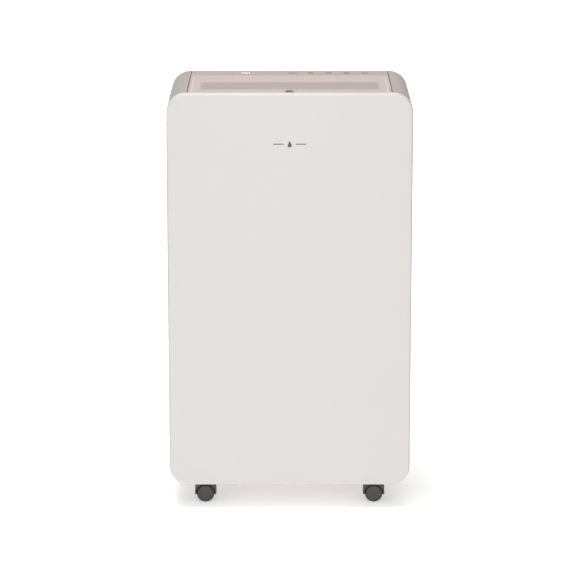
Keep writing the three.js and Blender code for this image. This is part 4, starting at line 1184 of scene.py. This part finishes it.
def makeTankBody():
    wall, corner, ease, rim = tankSet["wall"], tankSet["corner"], tankSet["rimEase"], 0.8
    width, depth = tankHigh.x - tankLow.x, faceInner - tankLow.y
    middle = (faceInner + tankLow.y) / 2
    inner = roundOver(tankSet["floorRound"], wall, tankLow.z + wall + tankSet["floorRound"], -1)[::-1]
    inner += [(wall, bodyTop - rim), (wall - ease, bodyTop)]
    outer = [(ease, bodyTop), (0, bodyTop - rim)]
    outer += roundOver(tankSet["footRound"], 0, tankLow.z + tankSet["footRound"], -1)
    more = wall - tankSet["rearWall"]
    rings = insetRings(width, depth + more, corner, inner, (0, middle + more / 2), 10)
    rings += insetRings(width, depth, corner, outer, (0, middle), 10)
    bm = bmesh.new()
    addRings(bm, rings, "top")
    shell = addPiece("water_tank_body", bm, "tank", "tankSmoke", ["water_tank"])
    pullWide, pullTall, pullDeep = tankSet["pull"]
    span = [(0, tankHigh.y - pullDeep), (0, tankHigh.y)]
    carved(shell, dish(pullWide, pullTall, pullTall / 3, span, "front", pullAt, 8))
    smoothed(shell)
    # pin that the float's lever turns on
    low, high, centre, _ = spotOf("tank_float", "top")
    pin, arm = tankSet["floatPin"], tankSet["floatArm"]
    near, far = centre[0] - arm, tankHigh.x - wall / 2
    steps = [(0, near), (pin - 0.3, near), (pin, near + 0.3), (pin, far), (0, far)]
    softPiece("float_pin", turned(steps, "side", (low.y + arm, high.z - arm), 24), "tank", "tankSmoke")


def makeTankFace():
    low, high, centre, half = spotOf("water_tank", "front")
    height = high.z - low.z
    steps = [(0, faceInner), (0, high.y)]
    bm = dish(2 * half, height, tankSet["faceCorner"], steps, "front", (0, centre[1]), 8)
    face = addPiece("water_tank_face", bm, "tank", "shellTaupe")
    pullWide, pullTall, pullDeep = tankSet["pull"]
    wall, corner = tankSet["wall"], pullTall / 3
    carved(face, dish(pullWide - 2 * wall, pullTall - 2 * wall, corner - wall, faceSpan, "front", pullAt, 8))
    wide, tall = tankSet["window"]
    windowAt = (tankSet["windowAt"], (low.z + bodyTop) / 2)
    carved(face, dish(wide, tall, wide / 2 - 0.1, faceSpan, "front", windowAt, 8))
    eased(face, 0.7, 3)
    floor, front = high.y - pullDeep, high.y - 1
    back = floor - wall
    steps = [(2, back), (0.6, back + 0.5), (0, back + 2), (0, front), (wall, front)]
    steps += roundOver(3, wall, floor + 3, -1)
    pocket = dish(pullWide, pullTall, corner, steps, "front", pullAt, 8)
    softPiece("tank_pull_pocket", pocket, "tank", "shellTaupe")
    top, inset = high.y - 0.35, 0.15
    steps = [(inset, faceInner + 0.2), (inset, top - 0.2), (0.35, top), (1, top)]
    window = dish(wide, tall, wide / 2 - 0.1, steps, "front", windowAt, 8)
    softPiece("level_window", window, "tank", "tankSmoke")
    ticks = bmesh.new()
    count = int(tall / tankSet["tickPitch"])
    for i in range(count):
        z = windowAt[1] + (i - (count - 1) / 2) * tankSet["tickPitch"]
        bar(around(windowAt[0], tankSet["tickHalf"][i % 2]), (top - 0.05, top + 0.03), around(z, 0.3), ticks)
    addPiece("level_ticks", ticks, "tank", "keyInk")


def makeTankLid():
    wall, corner, gap = tankSet["wall"], tankSet["corner"], tankSet["lidGap"]
    low = bodyTop + gap
    high = low + tankSet["lidThick"]
    width, depth = lidBoxHigh.x - lidBoxLow.x, lidBoxHigh.y - lidBoxLow.y
    centre = (0, (lidBoxLow.y + lidBoxHigh.y) / 2)
    steps = [(0.4, low), (0, low + 0.4), (0, high - 1.2), (0.4, high - 0.4), (1.2, high), (2, high)]
    bm = dish(width, depth, corner, steps, "top", centre, 10)
    lid = addPiece("tank_lid_plate", bm, "tank", "innerGrey", ["tank_lid"])
    inletWide, inletDeep = tankSet["inlet"]
    inletCorner = tankSet["inletCorner"]
    at = (tankSet["inletX"], (tankLow.y + tankHigh.y) / 2)
    hole = [(0, low - past), (0, high + past)]
    carved(lid, dish(inletWide, inletDeep, inletCorner, hole, "top", at, 8))
    smoothed(lid)
    rim = bmesh.new()
    steps = [(-2, high - 0.2), (-2, high + 0.9), (-1.5, high + 1.4), (-0.5, high + 1.4), (0, high + 0.9),
             (0, low)]
    addRings(rim, insetRings(inletWide, inletDeep, inletCorner, steps, at, 8), "top", False)
    inset, foot = wall + gap, low - tankSet["lipTall"]
    steps = [(0, low), (0, foot + 0.4), (0.4, foot), (1.6, foot), (2, foot + 0.4), (2, low)]
    rings = insetRings(width - 2 * inset, depth - 2 * inset, corner - inset, steps, centre, 10)
    addRings(rim, rings, "top", False)
    softPiece("tank_lid_rims", rim, "tank", "innerGrey")
    y, z = bailPivot
    radius, half, bore = tankSet["lugRadius"], tankSet["lugHalf"], tankSet["pinRadius"] + 0.1
    outline = [(y - radius, high - 0.2), (y + radius, high - 0.2)] + arc(y, z, radius, 0, 180, 12)
    for side, name in ((-1, "left"), (1, "right")):
        near, far = around(side * tankSet["lugX"], half)
        lug = addPiece(f"tank_lid_{name}_lug", prism(outline, "side", near, far), "tank", "innerGrey")
        carved(lug, prism(circle(bore, 24, bailPivot), "side", near - past, far + past))
        eased(lug, 0.3)


def makeBail():
    rear, z = bailPivot
    side, half, bend = tankSet["bailX"], tankSet["sleeveHalf"], tankSet["bailBend"]
    radius, wire, pin = tankSet["sleeveRadius"], tankSet["bailRadius"], tankSet["pinRadius"]
    front = bailLow.y + radius
    inner = side - bend
    route = [(side, rear), (side, rear - 8), (side, front + bend + 4), (side, front + bend)]
    route += arc(inner, front + bend, bend, -22.5, -67.5, 2)
    route += [(inner, front), (inner - 5, front), (half, front)]
    route = [(x, y, z) for x, y in route] + [(-x, y, z) for x, y in reversed(route)]
    softPiece("tank_bail_wire", pipeMesh(route, wire, 20, 6), "tank_bail", "shellTaupe", ["tank_handle"])
    extra = bmesh.new()
    ease = 0.8
    steps = [(0, -half), (radius - ease, -half), (radius, ease - half)]
    grooves = tankSet["sleeveGrooves"]
    for i in range(grooves):
        x = (half - 6) * (2 * i / (grooves - 1) - 1)
        steps += [(radius, x - ease), (radius - 0.35, x), (radius, x + ease)]
    steps += [(radius, half - ease), (radius - ease, half), (0, half)]
    turned(steps, "side", (front, z), 32, extra)
    for way in (-1, 1):
        steps = [(0, 63.9), (wire, 63.9), (radius, 64.4), (radius, 69.5), (wire, 70), (pin, 70), (pin, 73.1),
                 (pin - 0.4, bailHigh.x), (0, bailHigh.x)]
        turned([(r, way * x) for r, x in steps], "side", bailPivot, 32, extra)
    softPiece("tank_bail_fittings", extra, "tank_bail", "shellTaupe")


makeTankBody()
makeTankFace()
makeTankLid()
makeBail()
refined("tank_float", "floatWhite", 1.0)
refined("tank_bay", "innerGrey", 0.5)
print("tank made")


# inside: drip tray, coils, fan, refrigerant circuit, electrics

coilSet = {
    "finPitch": 2.4,
    "finThick": 0.25,
    "tubeRadius": 3.4,
    "rows": 9,
    "columns": (-5, 5),
    "rowStart": 0.35,  # of a row's pitch, and columnShift more for the second column
    "columnShift": 0.3,
    "bendReach": 9,
    "plateWidth": 3,
    "plateThick": 1.2,
}


def makeCoil(node):
    low, high = boxOf(node)
    middle = (low.y + high.y) / 2
    width, thick = coilSet["plateWidth"], coilSet["plateThick"]
    inner, half = high.x - width, coilSet["finThick"] / 2
    fins = bmesh.new()
    count = int(2 * inner / coilSet["finPitch"])
    for i in range(1, count):
        x = -inner + 2 * inner * i / count
        bar(around(x, half), (low.y + 0.3, high.y - 0.3), (low.z + 1, high.z - 1), fins)
    addPiece(node + "_fins", fins, "case", "finAluminium", [node])
    plates = bmesh.new()
    for way in (-1, 1):
        xs = sorted((way * (high.x - thick), way * high.x))
        bar(xs, (low.y, high.y), (low.z, high.z), plates)
        xs = sorted((way * inner, way * (high.x - 1)))
        for z in (low.z, high.z - thick):
            bar(xs, (low.y, high.y), (z, z + thick), plates)
    eased(addPiece(node + "_plates", plates, "case", "steel"), 0.2)
    tubes = bmesh.new()
    rows, radius, bend = coilSet["rows"], coilSet["tubeRadius"], coilSet["bendReach"]
    pitch = (high.z - low.z) / rows
    reach = high.x + 0.5
    steps = [(0, -reach), (radius, -reach), (radius, reach), (0, reach)]
    places = [(column, row, middle + offset,
               low.z + (row + coilSet["rowStart"] + coilSet["columnShift"] * column) * pitch)
              for column, offset in enumerate(coilSet["columns"]) for row in range(rows)]
    for column, row, y, z in places:
        turned(steps, "side", (y, z), 20, tubes)
    softPiece(node + "_tubes", tubes, "case", "copper")
    for column, row, y, z in places:
        if row == rows - 1:
            continue
        way = 1 if (row + column) % 2 else -1
        route = [(high.x - 1, z)] + arc(high.x, z + pitch / 2, bend, -90, 90, 6, pitch / 2 / bend)
        route = [(way * x, y, up) for x, up in route + [(high.x - 1, z + pitch)]]
        softPiece(f"{node}_bend_{column + 1}_{row + 1}", pipeMesh(route, radius, 12, 4), "case", "copper")


fanSet = {
    "wheelDeep": 58,
    "bladeCount": 36,
    "bladeThick": 1.2,
    "bladeRoot": 60,
    "bladeSweep": 0.16,  # radians
    "hubRadius": 12,
    "shaft": 4,
    "motorFlange": 8,
    "motorRibs": 24,
    "ribHalf": 0.7,
}


def makeImpeller():
    low, high, centre, radius = spotOf("fan_impeller", "front")
    centre = (0, centre[1])
    rear = high.y
    front = rear - fanSet["wheelDeep"]
    hub, shaft, inner = fanSet["hubRadius"], fanSet["shaft"], fanSet["bladeRoot"]
    steps = [(0, low.y), (shaft - 0.5, low.y), (shaft, low.y + 0.5), (shaft, front - 1),
             (hub - 1, front - 1), (hub, front - 0.2), (hub + 1, front), (radius - 0.8, front),
             (radius, front + 0.8), (radius, front + 1.4), (radius - 0.6, front + 2), (hub * 3, front + 2),
             (hub * 1.8, front + 5),
             (hub, front + 14), (hub - 1, front + 19), (shaft, front + 19.3), (shaft - 1, front + 21),
             (0, front + 21)]
    plate = turned(steps, "front", centre, 72)
    softPiece("fan_impeller_plate", plate, "fan", "casterGrey", ["fan_impeller"])
    ring = [(inner, 3.6), (radius - 0.6, 4), (radius, 3.4), (radius, 0.5), (radius - 0.6, 0),
            (radius - 4, 0), (inner, 1.8), (inner, 3.6)]
    ring = turned([(r, rear - d) for r, d in ring], "front", centre, 72)
    softPiece("fan_impeller_ring", ring, "fan", "casterGrey")
    blades = bmesh.new()
    count, half = fanSet["bladeCount"], fanSet["bladeThick"] / 2
    for i in range(count):
        lead, trail = [], []
        for share in (k / 6 for k in range(7)):
            r = inner + 1.5 + (radius - inner - 2.2) * share
            turn = 2 * math.pi * i / count + fanSet["bladeSweep"] * share ** 2
            for edge, angle in ((lead, turn + half / r), (trail, turn - half / r)):
                edge.append((centre[0] + r * math.cos(angle), centre[1] + r * math.sin(angle)))
        prism(lead + trail[::-1], "front", front + 1.5, rear - 2.5, blades)
    softPiece("fan_impeller_blades", blades, "fan", "casterGrey")


def makeMotor():
    low, high, centre, flange = spotOf("fan_motor", "front")
    centre = (0, centre[1])
    radius, neck, top, bore = flange - fanSet["motorFlange"], high.y - 3, high.y, fanSet["shaft"] + 0.2
    can, half = radius - 1, fanSet["ribHalf"]
    steps = [(0, 0), (8, 0), (9, 1.5), (radius - 9, 1.5), (radius - 4, 2), (radius - 1.5, 4), (can, 7)]
    steps = [(r, low.y + d) for r, d in steps]
    steps += [(can, neck), (flange - 0.6, neck), (flange, neck + 0.6), (flange, top - 0.6),
              (flange - 0.6, top), (bore, top), (bore, top - 19), (0, top - 19)]
    softPiece("fan_motor_can", turned(steps, "front", centre, 64), "case", "steel", ["fan_motor"])
    ribs = bmesh.new()
    for i in range(fanSet["motorRibs"]):
        turn = 2 * math.pi * i / fanSet["motorRibs"]
        corners = ((radius - 2, -half), (radius, -half), (radius, half), (radius - 2, half))
        outline = [(r * math.cos(turn) - across * math.sin(turn),
                    centre[1] + r * math.sin(turn) + across * math.cos(turn)) for r, across in corners]
        prism(outline, "front", low.y + 9, neck + 0.1, ribs)
    eased(addPiece("fan_motor_ribs", ribs, "case", "steel"), 0.25)


pumpSet = {
    "at": (-35, -34.85),
    "radius": 45,
    "footRound": 12,
    "shellRound": 18,
    "seamDrop": 38,
    "feet": (180, 40, -40),  # degrees
    "footReach": 56,
    "footHalf": 8,
    "footThick": 3,
    "footBore": 3.4,
    "coverSize": (30, 24, 5),  # width, depth, corner
    "coverAway": (12, 14),
    "canRound": 9,
}


def makeCompressor():
    low, high = boxOf("compressor")
    centre, radius = pumpSet["at"], pumpSet["radius"]
    foot, crown = pumpSet["footRound"], pumpSet["shellRound"]
    seam, band, shell, top = high.z - pumpSet["seamDrop"], radius - 0.5, radius - 1.4, high.z
    steps = [(0, low.z), (24, low.z)] + roundRim(radius, foot, low.z + 1 + foot, -1, 8)[::-1]
    steps += [(radius, seam - 2.2), (band, seam - 1.6), (band, seam + 1.6), (radius - 1.2, seam + 2.2)]
    steps += arc(0, top - crown, shell, 0, 90, 10, crown / shell)[:-1] + [(0, top)]
    shell = turned(steps, "top", centre, 72)
    softPiece("compressor_shell", shell, "case", "compressorBlack", ["compressor"], sharpAngle=40)
    feet, holes = bmesh.new(), bmesh.new()
    half = pumpSet["footHalf"]
    for angle in pumpSet["feet"]:
        tip = arc(*centre, pumpSet["footReach"], angle, angle, 1)[0]
        outline = arc(*centre, half, angle + 90, angle + 270, 12)
        outline += arc(*tip, half, angle - 90, angle + 90, 12)
        prism(outline, "top", low.z, low.z + pumpSet["footThick"], feet)
        prism(circle(pumpSet["footBore"], 24, tip), "top", low.z - past, low.z + 5, holes)
    plate = addPiece("compressor_feet", feet, "case", "compressorBlack")
    carved(plate, holes)
    eased(plate, 0.4)
    at = [a + b for a, b in zip(centre, pumpSet["coverAway"])]
    steps = [(0, top - 16), (0, top - 3), (1, top - 1.5), (3, top - 0.8)]
    softPiece("compressor_terminal_cover", dish(*pumpSet["coverSize"], steps, "top", at, 6), "case",
              "rubberBlack")
    for i in (1, 2, 3):
        makeGrommet(f"compressor_grommet_{i}")
    low, high, centre, radius = spotOf("accumulator", "top")
    curve = pumpSet["canRound"]
    steps = [(0, low.z), (5, low.z)] + roundRim(radius, curve, low.z + curve, -1, 7)[::-1][1:]
    steps += roundRim(radius, curve, high.z - curve, 1, 7)[:-1]
    steps += [(6, high.z - 0.6), (5.6, high.z), (0, high.z)]
    can = turned(steps, "top", centre, 48)
    softPiece("accumulator_can", can, "case", "compressorBlack", ["accumulator"], sharpAngle=40)


def makeGrommet(node):
    low, high, centre, radius = spotOf(node, "top")
    bore, waist, tall = 3.3, radius - 1.8, high.z - low.z
    steps = [(bore, low.z), (radius - 1, low.z), (radius, low.z + 1), (radius, low.z + tall * 0.3),
             (waist, low.z + tall * 0.38), (waist, low.z + tall * 0.62), (radius, low.z + tall * 0.7),
             (radius, high.z - 1), (radius - 1, high.z), (bore, high.z), (bore, low.z)]
    softPiece(node + "_ring", turned(steps, "top", centre, 40), "case", "rubberBlack", [node])


# pipes: radius and the points they run through
pipeSet = {
    "suction_pipe": (5, ((34, -34.85, 173.3), (34, -34.85, 203.3), (88, -34.85, 245.3), (137, -17.4, 261.6),
                         (142, 52, 303.6), (142, 76, 331.9), (137, 76, 361.9), (121.6, 76, 361.9))),
    "discharge_pipe": (4, ((-35, -34.85, 201.3), (-35, -34.85, 217.3), (-88.5, -34.85, 245.3),
                           (-138, -17.4, 261.6), (-142, 42, 303.6), (-138, 52, 361.9), (-121.6, 52, 361.9))),
    "capillary_tube": (1.5, ((121.6, 52, 417.9), (126.1, 52, 417.9), (131.8, 52, 423.9), (142, 64, 429.9),
                             (131.8, 76, 423.9), (126.1, 76, 417.9), (121.6, 76, 417.9))),
}


def makePipes():
    for node, (radius, route) in pipeSet.items():
        softPiece(node + "_run", pipeMesh(route, radius, 18, 14), "case", "copper", [node])


def makeCapacitor():
    low, high, centre, radius = spotOf("run_capacitor", "top")
    top = high.z - 10
    steps = [(0, low.z), (radius - 1.5, low.z), (radius, low.z + 1.5), (radius, top - 4),
             (radius - 0.8, top - 3), (radius, top - 2), (radius, top - 0.4), (radius - 0.5, top),
             (radius - 1.2, top - 1), (0, top - 1)]
    softPiece("run_capacitor_can", turned(steps, "top", centre, 48), "case", "steel", ["run_capacitor"])
    tabs = bmesh.new()
    for way in (-1, 1):
        bar(around(centre[0], 0.4), around(centre[1] + way * 4, 3), (top - 1.5, high.z), tabs)
    eased(addPiece("run_capacitor_tabs", tabs, "case", "steel"), 0.2)


panSet = {
    "ribAt": (-70, -35, 0, 35, 70),
    "ribHalf": 1,
    "ribInset": 12,
    "ribDrop": 2.4,
}


def makeBasePan():
    refined("base_pan", "innerGrey", 0.5)
    low, high = boxOf("base_pan")
    ribs = bmesh.new()
    for x in panSet["ribAt"]:
        bar(around(x, panSet["ribHalf"]), (low.y + panSet["ribInset"], high.y - panSet["ribInset"]),
            (low.z - panSet["ribDrop"], low.z + 0.2), ribs)
    eased(addPiece("base_pan_ribs", ribs, "case", "innerGrey"), 0.4)


makeCoil("evaporator")
makeCoil("condenser")
makeImpeller()
makeMotor()
makeCompressor()
makePipes()
makeCapacitor()
refined("fan_scroll", "innerGrey", 0.4)
refined("drip_tray", "innerGrey", 0.4)
refined("power_box", "innerGrey", 0.4)
refined("tank_switch", "casterGrey", 0.4)
refined("humidity_sensor", "boardGreen", 0.2)
makeBasePan()
print("inside made")
